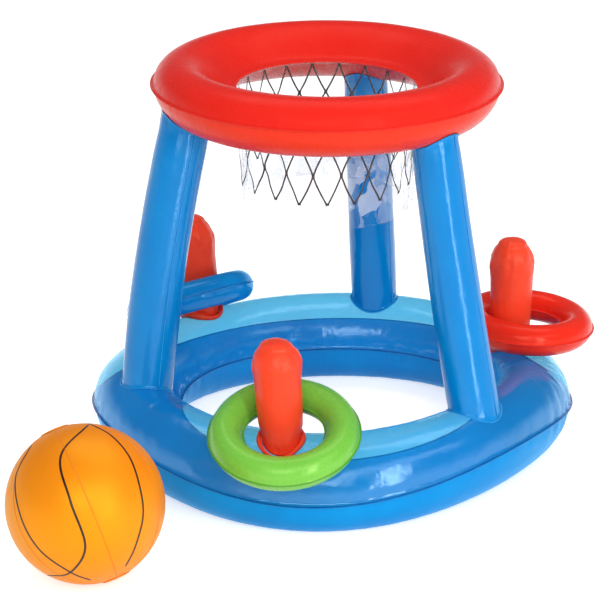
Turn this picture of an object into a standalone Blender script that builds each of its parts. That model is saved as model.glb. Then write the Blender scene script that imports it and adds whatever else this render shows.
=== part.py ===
"""Floating basketball hoop for a pool: an inflated base ring and hoop joined by three legs,
a film net skirt, three target posts with toss rings, and a ball. Metres, +Z up."""

from collections import namedtuple
from math import asin, atan2, cos, hypot, pi, radians, sin, tan, tau

import bmesh
import bpy
from mathutils import Euler, Matrix, Vector
from mathutils.bvhtree import BVHTree

# Fits between pieces
GAP = 0.0003  # air between two pieces that touch
FACET_ROOM = 0.0003  # more air under a flat facet that follows a rounded surface
WELD_LIP = 0.0007  # thickness of one sheet in a weld lip
OVERRUN = 0.020  # how far a piece that is cut to fit runs into its cutter

# Base ring
BASE_DIAMETER = 0.610  # over the outer weld lip
BASE_TUBE_WIDTH = 0.108
BASE_TUBE_HEIGHT = 0.114
BASE_LIP = 0.003
BASE_FLAT = 0.0025  # how far the floor presses the tube's underside in
BASE_POINT_SHARE = 1.04  # 1 is a round tube, more draws the welds to a point
BASE_OVAL_SHARE = 0.025  # out of round, as a soft ring lies
BASE_OVAL_TURN = radians(41)
BASE_LOBE_SHARE = 0.014  # swells between the legs
BASE_LOBE_TURN = radians(24)
BASE_SEAM_RISE = 0.005  # outer weld over the middle of the tube
BASE_SEAM_SWAY = 0.015  # and how far the legs pull it up and the posts press it down
BASE_CALM_SHARE = 0.75  # the back of the ring lies flatter
BASE_RISE_POWERS = (1.5, 3.0)  # how fast the upper and lower sheets follow the outer weld
BASE_SEGMENTS = 48
BASE_ARC_STEPS = 12

# Hoop
HOOP_DIAMETER = 0.4294  # over the outer weld lip
HOOP_CREST_DIAMETER = 0.3494
HOOP_ABOVE = 0.0326  # crest over the middle of the tube
HOOP_BELOW = 0.0376  # and the underside below it
HOOP_LIP = 0.0035
HOOP_POINT_SHARES = (1.11, 3.2)  # outer flank full, inner flank drawn out to its weld
HOOP_OUTER_RISE = 0.0091  # outer weld over the middle of the tube
HOOP_INNER_RISE = 0.0025
HOOP_HEIGHT = 0.4613  # middle of the tube over the floor
HOOP_OFFSET = (-0.0083, 0.0048)  # from the middle of the base
HOOP_LEAN = radians(2.6)  # the back rides higher
HOOP_SEGMENTS = 44
HOOP_ARC_STEPS = 9

# Net skirt
NET_DIAMETER = 0.219
NET_LENGTH = 0.147
NET_FILM = 0.0006
NET_RIPPLE = 0.0030  # folds at the free edge
NET_FOLDS = (7, 11)
NET_SEGMENTS = 66
NET_ROWS = 5

# Legs
LEG_DIAMETER = 0.0648
LEG_SIDES = 18
LEG_RINGS = 13
LEG_GIRTH_SHARES = (
    (-0.20, 0.98), (0.00, 0.98), (0.25, 1.00), (0.90, 0.99), (1.00, 0.97), (1.20, 0.95),
)  # share of the free height, share of the leg's girth there
LEG_FLANGE_WIDTH = 0.004
LEG_FLANGE_EXTRA = 0.002  # wider on the side away from the middle
LEG_FLANGE_SIDES = 24
LEG_FLANGE_LIMIT_SHARE = 0.88  # of the tube's half width, so that it ends above the outer weld
Leg = namedtuple("Leg", "foot_turn foot_across head_turn head_share bow_share foot_girth head_girth")
LEGS = {
    "leg_left": Leg(radians(202.4), -0.056, radians(196), 1.019, 0.092, 1.0, 0.99),
    "leg_right": Leg(radians(313.4), 0.106, radians(314.8), 1.019, -0.05, 0.99, 0.90),
    "leg_back": Leg(radians(75.5), -0.038, radians(72.6), 1.019, 0.0, 0.98, 0.90),
}  # foot_across: share of the base tube's half width; head_share: of the hoop's crest radius

# Target posts
POST_DIAMETER = 0.052
POST_HEIGHT = 0.137  # over the crest of the base ring
POST_SIDES = 18
POST_PROFILE_SHARES = (
    (0.00, 0.88), (0.06, 0.91), (0.14, 0.97), (0.40, 1.00), (0.62, 1.01), (0.70, 1.07),
    (0.77, 1.08), (0.83, 1.01), (0.89, 0.86), (0.95, 0.62), (0.985, 0.36), (1.00, 0.10),
)  # share of the height, share of the diameter
POST_LUMP_SHARE = 0.035  # wrinkles of the head
POST_LUMPS = 5
POST_LUMP_START_SHARE = 0.55
BEAD_DIAMETER = 0.0048
BEAD_SIDES = 22
BEAD_SECTION_SIDES = 6
Post = namedtuple("Post", "turn across height_share lean lean_turn")
POSTS = {
    "front": Post(radians(256.2), 0.134, 0.86, radians(3.2), radians(180)),
    "right": Post(radians(18.8), -0.22, 0.99, 0.0, 0.0),
    "left": Post(radians(133.9), 0.110, 1.0, radians(6), radians(185)),
}  # across: share of the base tube's half width

# Toss rings
RING_DIAMETER = 0.178  # over the outer weld lip
RING_TUBE_WIDTH = 0.039
RING_TUBE_HEIGHT = 0.040
RING_LIP = 0.002
RING_POINT_SHARE = 1.08
RING_SEGMENTS = 28
RING_ARC_STEPS = 6
Toss = namedtuple("Toss", "colour post tilt downhill way way_share")
TOSS_RINGS = {
    "toss_ring_green": Toss("#7CC84A", "front", radians(19.5), radians(263.8), radians(281.3), 0.257),
    "toss_ring_red": Toss("#EE2A24", "right", radians(3.2), radians(342.4), radians(2.6), 0.298),
    "toss_ring_blue": Toss("#0A6FC4", "left", radians(24.5), radians(128.3), radians(228.4), 0.315),
}  # way_share: how far the ring has slipped off the middle of the post, as a share of its radius

# Ball
BALL_DIAMETER = 0.1776
BALL_PLACE_SHARES = (-0.4533, -0.6393)  # of the base diameter, from the middle of the base ring
BALL_TURN = Euler((radians(29.2), radians(-12.6), radians(-109.8)))
BALL_GORES = 6
BALL_GORE_STEPS = 4
BALL_ROWS = 10
BALL_POLE_HOLE = 0.010  # radius that the gores leave at each pole
BALL_PATCH_RADIUS = 0.016
BALL_PATCH_FILM = 0.0006
BALL_PATCH_SIDES = 16

# Inflation valves, the same size on every chamber
VALVE_PAD_RADIUS = 0.0105
VALVE_PAD_HEIGHT = 0.0012
VALVE_PAD_DEPTH = 0.0024  # the pad is cut to the tube under it
VALVE_STEM_RADIUS = 0.0048
VALVE_STEM_HEIGHT = 0.0055
VALVE_BORE_RADIUS = 0.0029
VALVE_BORE_DEPTH = 0.0040
VALVE_SIDES = 12
PLUG_CAP_RADIUS = 0.0050
PLUG_CAP_HEIGHT = 0.0014
PLUG_SPIGOT_LENGTH = 0.0030
PLUG_SPIGOT_ROOT_RADIUS = 0.0023
PLUG_SPIGOT_TIP_RADIUS = 0.0018
HINGE_REACH = 0.0088  # from the bore's axis to the tether's bend
HINGE_KNUCKLE_RADIUS = 0.0011
HINGE_WIDTH = 0.0030
TETHER_THICKNESS = 0.0008
LUG_LENGTH = 0.0022
VALVE_SINK = 0.0002  # pieces of one moulding overlap by this before they are joined
BASE_VALVE_TURN = radians(104)
BASE_VALVE_ANGLE = radians(-24)  # round the tube, below the outer weld
HOOP_VALVE_TURN = radians(100)
HOOP_VALVE_ANGLE = radians(-32)
RING_VALVE_TURN = radians(90)
RING_VALVE_ANGLE = radians(-20)
BALL_VALVE_WAY = (0.3, 1.0, 0.35)  # share of each axis

BASE_BLUE = "#0A78CC"
BASE_BLUE_LIGHT = "#4FA6E4"
HOOP_RED = "#EE2F28"
NET_CLEAR = "#D6E6F2"
BALL_ORANGE = "#F79A1E"
VALVE_CLEAR = "#C9DCEB"

# Worked out from the sizes above
BASE_MID = BASE_TUBE_HEIGHT / 2 - BASE_FLAT
BASE_CREST = BASE_MID + BASE_TUBE_HEIGHT / 2
HOOP_INNER_TIP = NET_DIAMETER / 2 + GAP
HOOP_CREST = HOOP_CREST_DIAMETER / 2
HOOP_UNDERSIDE = HOOP_HEIGHT - HOOP_BELOW
RING_REACH = RING_DIAMETER / 2 - RING_LIP - RING_TUBE_WIDTH / 2
LIP_HALF = GAP / 2 + WELD_LIP

Tube = namedtuple("Tube", "outer inner above below points rise_powers inner_rise lip lip_half steps")
BASE_TUBE = Tube(BASE_TUBE_WIDTH / 2, BASE_TUBE_WIDTH / 2, BASE_TUBE_HEIGHT / 2, BASE_TUBE_HEIGHT / 2,
                 (BASE_POINT_SHARE, BASE_POINT_SHARE), BASE_RISE_POWERS, 0.0,
                 BASE_LIP, LIP_HALF, BASE_ARC_STEPS)
HOOP_TUBE = Tube(HOOP_DIAMETER / 2 - HOOP_LIP - HOOP_CREST, HOOP_CREST - HOOP_INNER_TIP - HOOP_LIP,
                 HOOP_ABOVE, HOOP_BELOW, HOOP_POINT_SHARES, (1.0, 1.0), HOOP_INNER_RISE,
                 HOOP_LIP, LIP_HALF, HOOP_ARC_STEPS)
RING_TUBE = Tube(RING_TUBE_WIDTH / 2, RING_TUBE_WIDTH / 2, RING_TUBE_HEIGHT / 2, RING_TUBE_HEIGHT / 2,
                 (RING_POINT_SHARE, RING_POINT_SHARE), (1.0, 1.0), 0.0,
                 RING_LIP, LIP_HALF, RING_ARC_STEPS)


def clear_scene():
    for item in list(bpy.data.objects):
        bpy.data.objects.remove(item)


def linear(hex_colour):
    """Linear colour of an sRGB hex value."""
    parts = [int(hex_colour[k:k + 2], 16) / 255 for k in (1, 3, 5)]
    return [p / 12.92 if p <= 0.04045 else ((p + 0.055) / 1.055) ** 2.4 for p in parts] + [1.0]


def film(name, hex_colour, roughness=0.25, alpha=1.0):
    """Glossy PVC film."""
    material = bpy.data.materials.new(name)
    material.use_nodes = True
    shader = material.node_tree.nodes["Principled BSDF"]
    shader.inputs["Base Color"].default_value = linear(hex_colour)
    shader.inputs["Roughness"].default_value = roughness
    shader.inputs["Metallic"].default_value = 0.0
    shader.inputs["Alpha"].default_value = alpha
    return material


def place(name, mesh, material=None, parent=None):
    """Add a mesh as an object, in its parent's frame."""
    item = bpy.data.objects.new(name, mesh)
    bpy.context.collection.objects.link(item)
    if material and not mesh.materials:
        mesh.materials.append(material)
    item.parent = parent
    return item


def frame(name, location, rotation=None):
    """An empty that carries the pieces of one assembly."""
    item = bpy.data.objects.new(name, None)
    bpy.context.collection.objects.link(item)
    item.location = location
    if rotation:
        item.rotation_euler = rotation
    bpy.context.view_layer.update()
    return item


def loft(name, loops, closed=False, smooth=radians(50)):
    """Closed solid through equal loops of points: a ring if closed, else capped at both ends."""
    bm = bmesh.new()
    rows = [[bm.verts.new(p) for p in loop] for loop in loops]
    count = len(rows[0])
    joins = list(zip(rows, rows[1:]))
    if closed:
        joins.append((rows[-1], rows[0]))
    else:
        bm.faces.new(rows[0])
        bm.faces.new(rows[-1])
    for one, two in joins:
        for k in range(count):
            nxt = (k + 1) % count
            bm.faces.new((one[k], one[nxt], two[nxt], two[k]))
    bmesh.ops.recalc_face_normals(bm, faces=bm.faces)
    mesh = bpy.data.meshes.new(name)
    bm.to_mesh(mesh)
    bm.free()
    mesh.shade_smooth()
    mesh.set_sharp_from_angle(angle=smooth)
    return mesh


def circle(radius, height, sides, centre=(0.0, 0.0)):
    return [Vector((centre[0] + radius * cos(tau * k / sides),
                    centre[1] + radius * sin(tau * k / sides), height)) for k in range(sides)]


def shares_at(table, at):
    """Smooth reading of a table of (place share, size share)."""
    for (low, a), (high, b) in zip(table, table[1:]):
        if at <= high:
            t = max(0.0, (at - low) / (high - low))
            return a + (b - a) * t * t * (3 - 2 * t)
    return table[-1][1]


def make_cutter(item):
    item.hide_render = True
    item.display_type = "WIRE"
    return item


def cut(item, cutter):
    """Cut a piece to the surface that it is welded on."""
    change = item.modifiers.new("seat", "BOOLEAN")
    change.operation = "DIFFERENCE"
    change.solver = "EXACT"
    change.object = cutter


# Inflated tubes: two sheets welded along an outer and an inner lip


def tube_point(tube, angle, rise=0.0):
    """Point of the tube's outline from its crest line, at an angle from the outer weld."""
    upper, across = sin(angle) > 0, cos(angle)
    width, point = (tube.outer, tube.points[0]) if across > 0 else (tube.inner, tube.points[1])
    swell = (tube.above if upper else -tube.below) * abs(sin(angle)) ** point
    follow = ((1 + across) / 2) ** tube.rise_powers[0 if upper else 1]
    return width * across, swell + rise * follow + tube.inner_rise * (1 - across) / 2


def weld_angle(tube, side, part):
    """Angle off the weld (part 0 outer, 1 inner) where the sheet leaves the lip."""
    height = tube.above if side > 0 else tube.below
    return asin((tube.lip_half / height) ** (1 / tube.points[part]))


def sheet_outline(tube, side, rise=0.0):
    """Section of the upper (side 1) or lower (side -1) sheet's half of the tube."""
    outer_tip, inner_tip, inward = tube.outer + tube.lip, -tube.inner - tube.lip, tube.inner_rise
    start, end = weld_angle(tube, side, 0), pi - weld_angle(tube, side, 1)
    arc = [tube_point(tube, side * (start + (end - start) * k / tube.steps), rise)
           for k in range(tube.steps + 1)]
    return ([(outer_tip, rise + side * GAP / 2), (outer_tip, rise + side * tube.lip_half)] + arc
            + [(inner_tip, inward + side * tube.lip_half), (inner_tip, inward + side * GAP / 2)])


def cutter_outline(tube, rise=0.0):
    """Section of the whole tube, lips included, a gap larger all round."""
    wide = tube._replace(outer=tube.outer + GAP, inner=tube.inner + GAP, above=tube.above + GAP,
                         below=tube.below + GAP, lip_half=tube.lip_half + GAP, steps=2 * tube.steps)
    upper = sheet_outline(wide, 1, rise)[1:-1]
    lower = sheet_outline(wide, -1, rise)[1:-1]
    return upper + lower[::-1]


def sweep(name, segments, reach, outline):
    """Closed ring round +Z; reach(turn) and outline(turn) give each section."""
    loops = []
    for k in range(segments):
        turn = tau * k / segments
        loops.append([Vector(((reach(turn) + x) * cos(turn), (reach(turn) + x) * sin(turn), z))
                      for x, z in outline(turn)])
    return loft(name, loops, closed=True)


def base_reach(turn):
    """Radius of the base tube's centre line, out of round where legs and posts pull it."""
    out_of_round = (BASE_OVAL_SHARE * cos(2 * (turn - BASE_OVAL_TURN))
                    + BASE_LOBE_SHARE * cos(3 * (turn - BASE_LOBE_TURN)))
    return BASE_DIAMETER / 2 * (1 + out_of_round) - BASE_LIP - BASE_TUBE_WIDTH / 2


def base_seam(turn):
    """Height of the outer weld over the middle of the base tube."""
    calm = 1 - BASE_CALM_SHARE * max(0.0, sin(turn))
    return calm * (BASE_SEAM_RISE - BASE_SEAM_SWAY * cos(3 * (turn - BASE_LOBE_TURN)))


def base_top(x, y):
    """Height of the base ring's upper surface over the floor."""
    turn = atan2(y, x)
    across = (hypot(x, y) - base_reach(turn)) / BASE_TUBE.outer
    across = max(-1.0, min(1.0, across))
    swell = BASE_TUBE.above * (1 - across ** 2) ** (BASE_POINT_SHARE / 2)
    return BASE_MID + swell + base_seam(turn) * ((1 + across) / 2) ** BASE_RISE_POWERS[0]


def on_base(turn, across):
    """Spot on the base ring, seen from above: across is a share of the tube's half width."""
    return polar(turn, base_reach(turn) + across * BASE_TUBE.outer)


def base_normal(x, y):
    step = BASE_LIP
    slope_x = (base_top(x + step, y) - base_top(x - step, y)) / (2 * step)
    slope_y = (base_top(x, y + step) - base_top(x, y - step)) / (2 * step)
    return Vector((-slope_x, -slope_y, 1)).normalized()


def build_base(blue):
    def section(side):
        def outline(turn):
            return [(x, max(BASE_MID + z, 0.0)) for x, z in sheet_outline(BASE_TUBE, side, base_seam(turn))]
        return outline

    upper = place("base_upper_sheet", sweep("base_upper_sheet", BASE_SEGMENTS, base_reach, section(1)), blue)
    place("base_lower_sheet", sweep("base_lower_sheet", BASE_SEGMENTS, base_reach, section(-1)), blue)

    def wide(turn):
        return [(x, BASE_MID + z) for x, z in cutter_outline(BASE_TUBE, base_seam(turn))]

    cutter = make_cutter(place("base_cutter", sweep("base_cutter", BASE_SEGMENTS, base_reach, wide)))
    return upper, cutter


def build_hoop(red, clear):
    hoop = frame("hoop_frame", (*HOOP_OFFSET, HOOP_HEIGHT), Euler((HOOP_LEAN, 0.0, 0.0)))

    def reach(turn):
        return HOOP_CREST

    for name, side in (("hoop_upper_sheet", 1), ("hoop_lower_sheet", -1)):
        section = sheet_outline(HOOP_TUBE, side, HOOP_OUTER_RISE)
        place(name, sweep(name, HOOP_SEGMENTS, reach, lambda turn: section), red, hoop)
    wide = cutter_outline(HOOP_TUBE, HOOP_OUTER_RISE)
    cutter = place("hoop_cutter", sweep("hoop_cutter", HOOP_SEGMENTS, reach, lambda turn: wide), parent=hoop)
    place("net_skirt", net_mesh(), clear, hoop)
    return hoop, make_cutter(cutter)


def net_mesh():
    """Film tube that hangs plumb from the hoop's inner weld, with soft folds at its free edge."""
    loops = []
    few, many = NET_FOLDS
    for k in range(NET_SEGMENTS):
        turn = tau * k / NET_SEGMENTS
        fold = 0.6 * cos(few * turn) + 0.4 * cos(many * turn + 1)
        outer = []
        for row in range(NET_ROWS + 1):
            down = row / NET_ROWS
            shift = NET_RIPPLE * down * (fold - 1)
            outer.append((NET_DIAMETER / 2 + shift, -NET_LENGTH * down))
        inner = [(r - NET_FILM, z) for r, z in reversed(outer)]
        loops.append([Vector((r * cos(turn), r * sin(turn) + z * tan(HOOP_LEAN),
                              HOOP_INNER_RISE + LIP_HALF + z)) for r, z in outer + inner])
    return loft("net_skirt", loops, closed=True)


# Legs


def polar(turn, reach):
    return Vector((reach * cos(turn), reach * sin(turn)))


def leg_share(height):
    """Share of the leg's free height, from the base ring's crest to the hoop's underside."""
    return (height - BASE_CREST) / (HOOP_UNDERSIDE - BASE_CREST)


def leg_axis(leg, height):
    """Middle of the leg at a height over the floor."""
    share = leg_share(height)
    foot = on_base(leg.foot_turn, leg.foot_across)
    head = polar(leg.head_turn, leg.head_share * HOOP_CREST) + Vector(HOOP_OFFSET)
    bow = leg.bow_share * LEG_DIAMETER * sin(pi * min(max(share, 0.0), 1.0))
    return foot.lerp(head, share) + polar(leg.foot_turn, bow)


def leg_radius(leg, height):
    share = leg_share(height)
    girth = leg.foot_girth + (leg.head_girth - leg.foot_girth) * min(max(share, 0.0), 1.0)
    return LEG_DIAMETER / 2 * girth * shares_at(LEG_GIRTH_SHARES, share)


def build_leg(name, leg, blue, base_cutter, hoop_cutter):
    low = BASE_CREST - OVERRUN - LEG_DIAMETER / 4
    high = HOOP_HEIGHT + (HOOP_OUTER_RISE + HOOP_INNER_RISE) / 2
    loops = []
    for k in range(LEG_RINGS):
        share = k / (LEG_RINGS - 1)
        height = low + (high - low) * share
        lean = tan(HOOP_LEAN) * share ** 2
        loops.append([Vector((p.x, p.y, p.z + lean * (p.y - HOOP_OFFSET[1])))
                      for p in circle(leg_radius(leg, height), height, LEG_SIDES, leg_axis(leg, height))])
    item = place(name, loft(name, loops), blue)
    cut(item, base_cutter)
    cut(item, hoop_cutter)


def build_leg_flange(name, leg, pale):
    """Weld flange of film round a leg's foot, laid on the base ring."""
    loops = []
    for k in range(LEG_FLANGE_SIDES):
        turn = tau * k / LEG_FLANGE_SIDES
        outward = (1 + cos(turn - leg.foot_turn)) / 2
        width = LEG_FLANGE_WIDTH + LEG_FLANGE_EXTRA * outward
        under, over = [], []
        for share in (0.0, 0.5, 1.0):
            height = BASE_CREST
            for _ in range(4):
                middle = leg_axis(leg, height)
                clear = (leg_radius(leg, height) + GAP) / cos(pi / LEG_FLANGE_SIDES) + FACET_ROOM
                spot = middle + polar(turn, clear + width * share)
                limit = base_reach(atan2(spot.y, spot.x)) + LEG_FLANGE_LIMIT_SHARE * BASE_TUBE.outer
                spot *= min(1.0, limit / spot.length)
                height = base_top(*spot)
            surface, normal = Vector((*spot, height)), base_normal(*spot)
            under.append(surface + normal * (GAP + FACET_ROOM))
            over.append(surface + normal * (GAP + FACET_ROOM + WELD_LIP))
        loops.append(under + over[::-1])
    place(name, loft(name, loops, closed=True), pale)


# Target posts


def post_axis(post, height):
    """Middle of the post at a height over the crest of the base ring."""
    return on_base(post.turn, post.across) + polar(post.lean_turn, tan(post.lean) * height)


def post_radius(share, turn=0.0):
    lumps = POST_LUMP_SHARE * cos(POST_LUMPS * turn + share * tau) * (share > POST_LUMP_START_SHARE)
    return POST_DIAMETER / 2 * shares_at(POST_PROFILE_SHARES, share) * (1 + lumps * (share < 1))


def build_post(name, post, red, base_cutter):
    tall = POST_HEIGHT * post.height_share
    shares = [-OVERRUN / tall] + [share for share, _ in POST_PROFILE_SHARES]
    loops = []
    for share in shares:
        height = share * tall
        middle = post_axis(post, height)
        loops.append([Vector((*(middle + polar(turn, post_radius(share, turn))), BASE_CREST + height))
                      for turn in (tau * k / POST_SIDES for k in range(POST_SIDES))])
    item = place(name, loft(name, loops), red)
    cut(item, base_cutter)


def build_bead(name, post, red):
    """Rolled weld bead that follows the base ring round a post's foot."""
    radius = BEAD_DIAMETER / 2
    tall = POST_HEIGHT * post.height_share
    loops = []
    for k in range(BEAD_SIDES):
        turn = tau * k / BEAD_SIDES
        height = 0.0
        for _ in range(3):
            clear = post_radius((height + BEAD_DIAMETER) / tall) + GAP + FACET_ROOM + radius
            spot = post_axis(post, height + radius) + polar(turn, clear)
            height = base_top(*spot) - BASE_CREST
        surface = Vector((*spot, base_top(*spot)))
        middle = surface + base_normal(*spot) * (radius + GAP + FACET_ROOM)
        outward = Vector((*polar(turn, 1.0), 0.0))
        loops.append([middle + radius * (outward * cos(a) + Vector((0, 0, 1)) * sin(a))
                      for a in (tau * j / BEAD_SECTION_SIDES for j in range(BEAD_SECTION_SIDES))])
    place(name, loft(name, loops, closed=True), red)


# Toss rings


def tilt_matrix(tilt, downhill):
    """Turn that tips a flat ring down towards a direction."""
    return Matrix.Rotation(tilt, 4, Vector((-sin(downhill), cos(downhill), 0.0)))


def drop_distance(meshes, matrix, support):
    """Smallest upright distance from the placed meshes down to the support."""
    below = BVHTree.FromPolygons([v.co for v in support.vertices],
                                 [list(f.vertices) for f in support.polygons])
    least = None
    for mesh in meshes:
        points = [matrix @ v.co for v in mesh.vertices]
        for edge in mesh.edges:
            one, two = (points[k] for k in edge.vertices)
            for k in range(8):
                spot = one.lerp(two, k / 8)
                found = below.ray_cast(spot, Vector((0, 0, -1)))
                if found[0]:
                    least = found[3] if least is None else min(least, found[3])
        above = BVHTree.FromPolygons(points, [list(f.vertices) for f in mesh.polygons])
        for edge in support.edges:
            one, two = (support.vertices[k].co for k in edge.vertices)
            for k in range(8):
                found = above.ray_cast(one.lerp(two, k / 8), Vector((0, 0, 1)))
                if found[0]:
                    least = found[3] if least is None else min(least, found[3])
    return least


def build_toss_ring(name, toss, base_upper):
    colour = film(name, toss.colour)
    meshes = [sweep(f"{name}_{part}", RING_SEGMENTS, lambda turn: RING_REACH,
                    lambda turn: sheet_outline(RING_TUBE, side))
              for part, side in (("upper", 1), ("lower", -1))]
    tip = tilt_matrix(toss.tilt, toss.downhill)
    start = post_axis(POSTS[toss.post], 0.0) + polar(toss.way, toss.way_share * RING_REACH)
    high = Vector((*start, BASE_CREST + RING_DIAMETER))
    fall = drop_distance(meshes, Matrix.Translation(high) @ tip, base_upper.data) - GAP
    ring = frame(f"{name}_frame", high - Vector((0, 0, fall)), tip.to_euler())
    for mesh in meshes:
        place(mesh.name, mesh, colour, ring)
    cutter = place(f"{name}_cutter", sweep(f"{name}_cutter", RING_SEGMENTS, lambda turn: RING_REACH,
                                           lambda turn: cutter_outline(RING_TUBE)), parent=ring)
    return ring, make_cutter(cutter)


# Ball


def gore_mesh(name, index):
    """One film panel of the ball with the air behind it, from pole to pole."""
    radius = BALL_DIAMETER / 2 - GAP
    pole = asin(BALL_POLE_HOLE / radius)
    middle = tau * index / BALL_GORES
    shift = Vector((*polar(middle, GAP), 0.0))
    loops = []
    for row in range(BALL_ROWS + 1):
        rise = -pi / 2 + pole + (pi - 2 * pole) * row / BALL_ROWS
        loop = [Vector((0, 0, radius * sin(rise))) + shift]
        for step in range(BALL_GORE_STEPS + 1):
            turn = middle + tau / BALL_GORES * (step / BALL_GORE_STEPS - 1 / 2)
            loop.append(Vector((*polar(turn, radius * cos(rise)), radius * sin(rise))) + shift)
        loops.append(loop)
    return loft(name, loops)


def patch_mesh(name, side):
    """Round film patch over a pole of the ball."""
    inner = BALL_DIAMETER / 2 + GAP
    outer = inner + BALL_PATCH_FILM
    edge = asin(BALL_PATCH_RADIUS / inner)
    path = ((inner, edge / 8), (inner, edge), (outer, edge), (outer, edge / 2), (outer, edge / 8))
    return loft(name, [circle(r * sin(a), side * r * cos(a), BALL_PATCH_SIDES) for r, a in path])


def build_ball(orange):
    spot = [share * BASE_DIAMETER for share in BALL_PLACE_SHARES]
    ball = frame("ball_frame", (*spot, BALL_DIAMETER / 2), BALL_TURN)
    lowest = BALL_DIAMETER
    for index in range(BALL_GORES):
        name = f"ball_gore_{index + 1}"
        item = place(name, gore_mesh(name, index), orange, ball)
        lowest = min(lowest, min((ball.matrix_world @ v.co).z for v in item.data.vertices))
    for name, side in (("ball_patch_top", 1), ("ball_patch_bottom", -1)):
        place(name, patch_mesh(name, side), orange, ball)
    ball.location.z -= lowest
    bpy.context.view_layer.update()
    radius = BALL_DIAMETER / 2 + GAP
    bm = bmesh.new()
    bmesh.ops.create_uvsphere(bm, u_segments=24, v_segments=16, radius=radius)
    mesh = bpy.data.meshes.new("ball_cutter")
    bm.to_mesh(mesh)
    bm.free()
    return ball, make_cutter(place("ball_cutter", mesh, parent=ball))


# Valves


def join(name, meshes):
    """One closed mesh from overlapping closed meshes."""
    items = [place(f"{name}_{k}", mesh) for k, mesh in enumerate(meshes)]
    for other in items[1:]:
        change = items[0].modifiers.new("join", "BOOLEAN")
        change.operation = "UNION"
        change.solver = "EXACT"
        change.object = other
    bpy.context.view_layer.update()
    done = bpy.data.meshes.new_from_object(items[0].evaluated_get(bpy.context.evaluated_depsgraph_get()))
    done.name = name
    for item in items:
        bpy.data.objects.remove(item)
    return done


def block(name, x_range, half_width, z_range):
    loops = [[Vector((x, y, z)) for x, y in ((x_range[0], -half_width), (x_range[1], -half_width),
                                             (x_range[1], half_width), (x_range[0], half_width))]
             for z in z_range]
    return loft(name, loops)


def rod_along_y(name, radius, half_width, sides):
    turns = [tau * k / sides for k in range(sides)]
    loops = [[Vector((radius * cos(turn), y, radius * sin(turn))) for turn in turns]
             for y in (-half_width, half_width)]
    return loft(name, loops)


HINGE_HEIGHT = VALVE_STEM_HEIGHT + GAP + PLUG_CAP_HEIGHT / 2
HINGE_SIDES = 10


def stem_mesh():
    """Moulded valve: a weld pad, a bored stem and the lug under the tether's bend."""
    turned = ((VALVE_PAD_RADIUS, -VALVE_PAD_DEPTH), (VALVE_PAD_RADIUS, VALVE_PAD_HEIGHT),
              (VALVE_STEM_RADIUS, VALVE_PAD_HEIGHT), (VALVE_STEM_RADIUS, VALVE_STEM_HEIGHT),
              (VALVE_BORE_RADIUS, VALVE_STEM_HEIGHT),
              (VALVE_BORE_RADIUS, VALVE_STEM_HEIGHT - VALVE_BORE_DEPTH))
    body = loft("stem_body", [circle(r, z, VALVE_SIDES) for r, z in turned])
    top = HINGE_HEIGHT - HINGE_KNUCKLE_RADIUS - GAP
    lug = block("stem_lug", (HINGE_REACH - LUG_LENGTH / 2, HINGE_REACH + LUG_LENGTH / 2), HINGE_WIDTH / 2,
                (VALVE_PAD_HEIGHT - VALVE_SINK, top))
    return join("valve_stem", [body, lug])


def plug_mesh():
    """Cap with its spigot, tether and rounded bend, seen from the bend's axis."""
    low = -PLUG_CAP_HEIGHT / 2
    turned = ((PLUG_SPIGOT_TIP_RADIUS, low - PLUG_SPIGOT_LENGTH), (PLUG_SPIGOT_ROOT_RADIUS, low),
              (PLUG_CAP_RADIUS, low), (PLUG_CAP_RADIUS, -low))
    cap = loft("plug_cap", [circle(r, z, VALVE_SIDES, (-HINGE_REACH, 0.0)) for r, z in turned])
    tether = block("plug_tether", (-HINGE_REACH + PLUG_CAP_RADIUS - 4 * VALVE_SINK, 0.0), HINGE_WIDTH / 3,
                   (-TETHER_THICKNESS / 2, TETHER_THICKNESS / 2))
    bend = rod_along_y("plug_bend", HINGE_KNUCKLE_RADIUS, HINGE_WIDTH / 2, HINGE_SIDES)
    return join("valve_plug", [cap, tether, bend])


def add_valve(owner, parent, spot, outward, along, stem, plug, clear, cutter):
    """Stem welded on a tube, and its plug on the tether, in the parent's frame."""
    up = outward.normalized()
    ahead = (along - up * along.dot(up)).normalized()
    basis = Matrix((ahead, up.cross(ahead), up)).transposed().to_4x4()
    seat = Matrix.Translation(spot) @ basis
    body = place(f"{owner}_valve_stem", stem.copy(), clear, parent)
    body.matrix_local = seat
    cut(body, cutter)
    cap = place(f"{owner}_valve_plug", plug.copy(), clear, parent)
    cap.matrix_local = seat @ Matrix.Translation((HINGE_REACH, 0.0, HINGE_HEIGHT))


def on_tube(reach, tube, turn, angle, height=0.0, rise=0.0):
    """Point, outward direction and run of a ring's tube at a turn and an angle of its section."""
    x, z = tube_point(tube, angle, rise)
    step = radians(1)
    ahead, behind = tube_point(tube, angle + step, rise), tube_point(tube, angle - step, rise)
    slope = (ahead[0] - behind[0], ahead[1] - behind[1])
    radial = Vector((*polar(turn, 1.0), 0.0))
    outward = radial * slope[1] - Vector((0, 0, 1)) * slope[0]
    along = Vector((-sin(turn), cos(turn), 0.0))
    return radial * (reach + x) + Vector((0, 0, height + z)), outward, along


def centre_on_origin():
    """Move everything so that the origin is under the middle of the whole set."""
    bpy.context.view_layer.update()
    shapes = bpy.context.evaluated_depsgraph_get()
    points = []
    for item in bpy.data.objects:
        if item.type == "MESH" and not item.hide_render:
            made = item.evaluated_get(shapes)
            points += [item.matrix_world @ v.co for v in made.data.vertices]
    low = [min(p[axis] for p in points) for axis in range(3)]
    high = [max(p[axis] for p in points) for axis in range(3)]
    shift = Vector((-(low[0] + high[0]) / 2, -(low[1] + high[1]) / 2, -low[2]))
    for item in bpy.data.objects:
        if not item.parent:
            item.location += shift
    bpy.context.view_layer.update()


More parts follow.
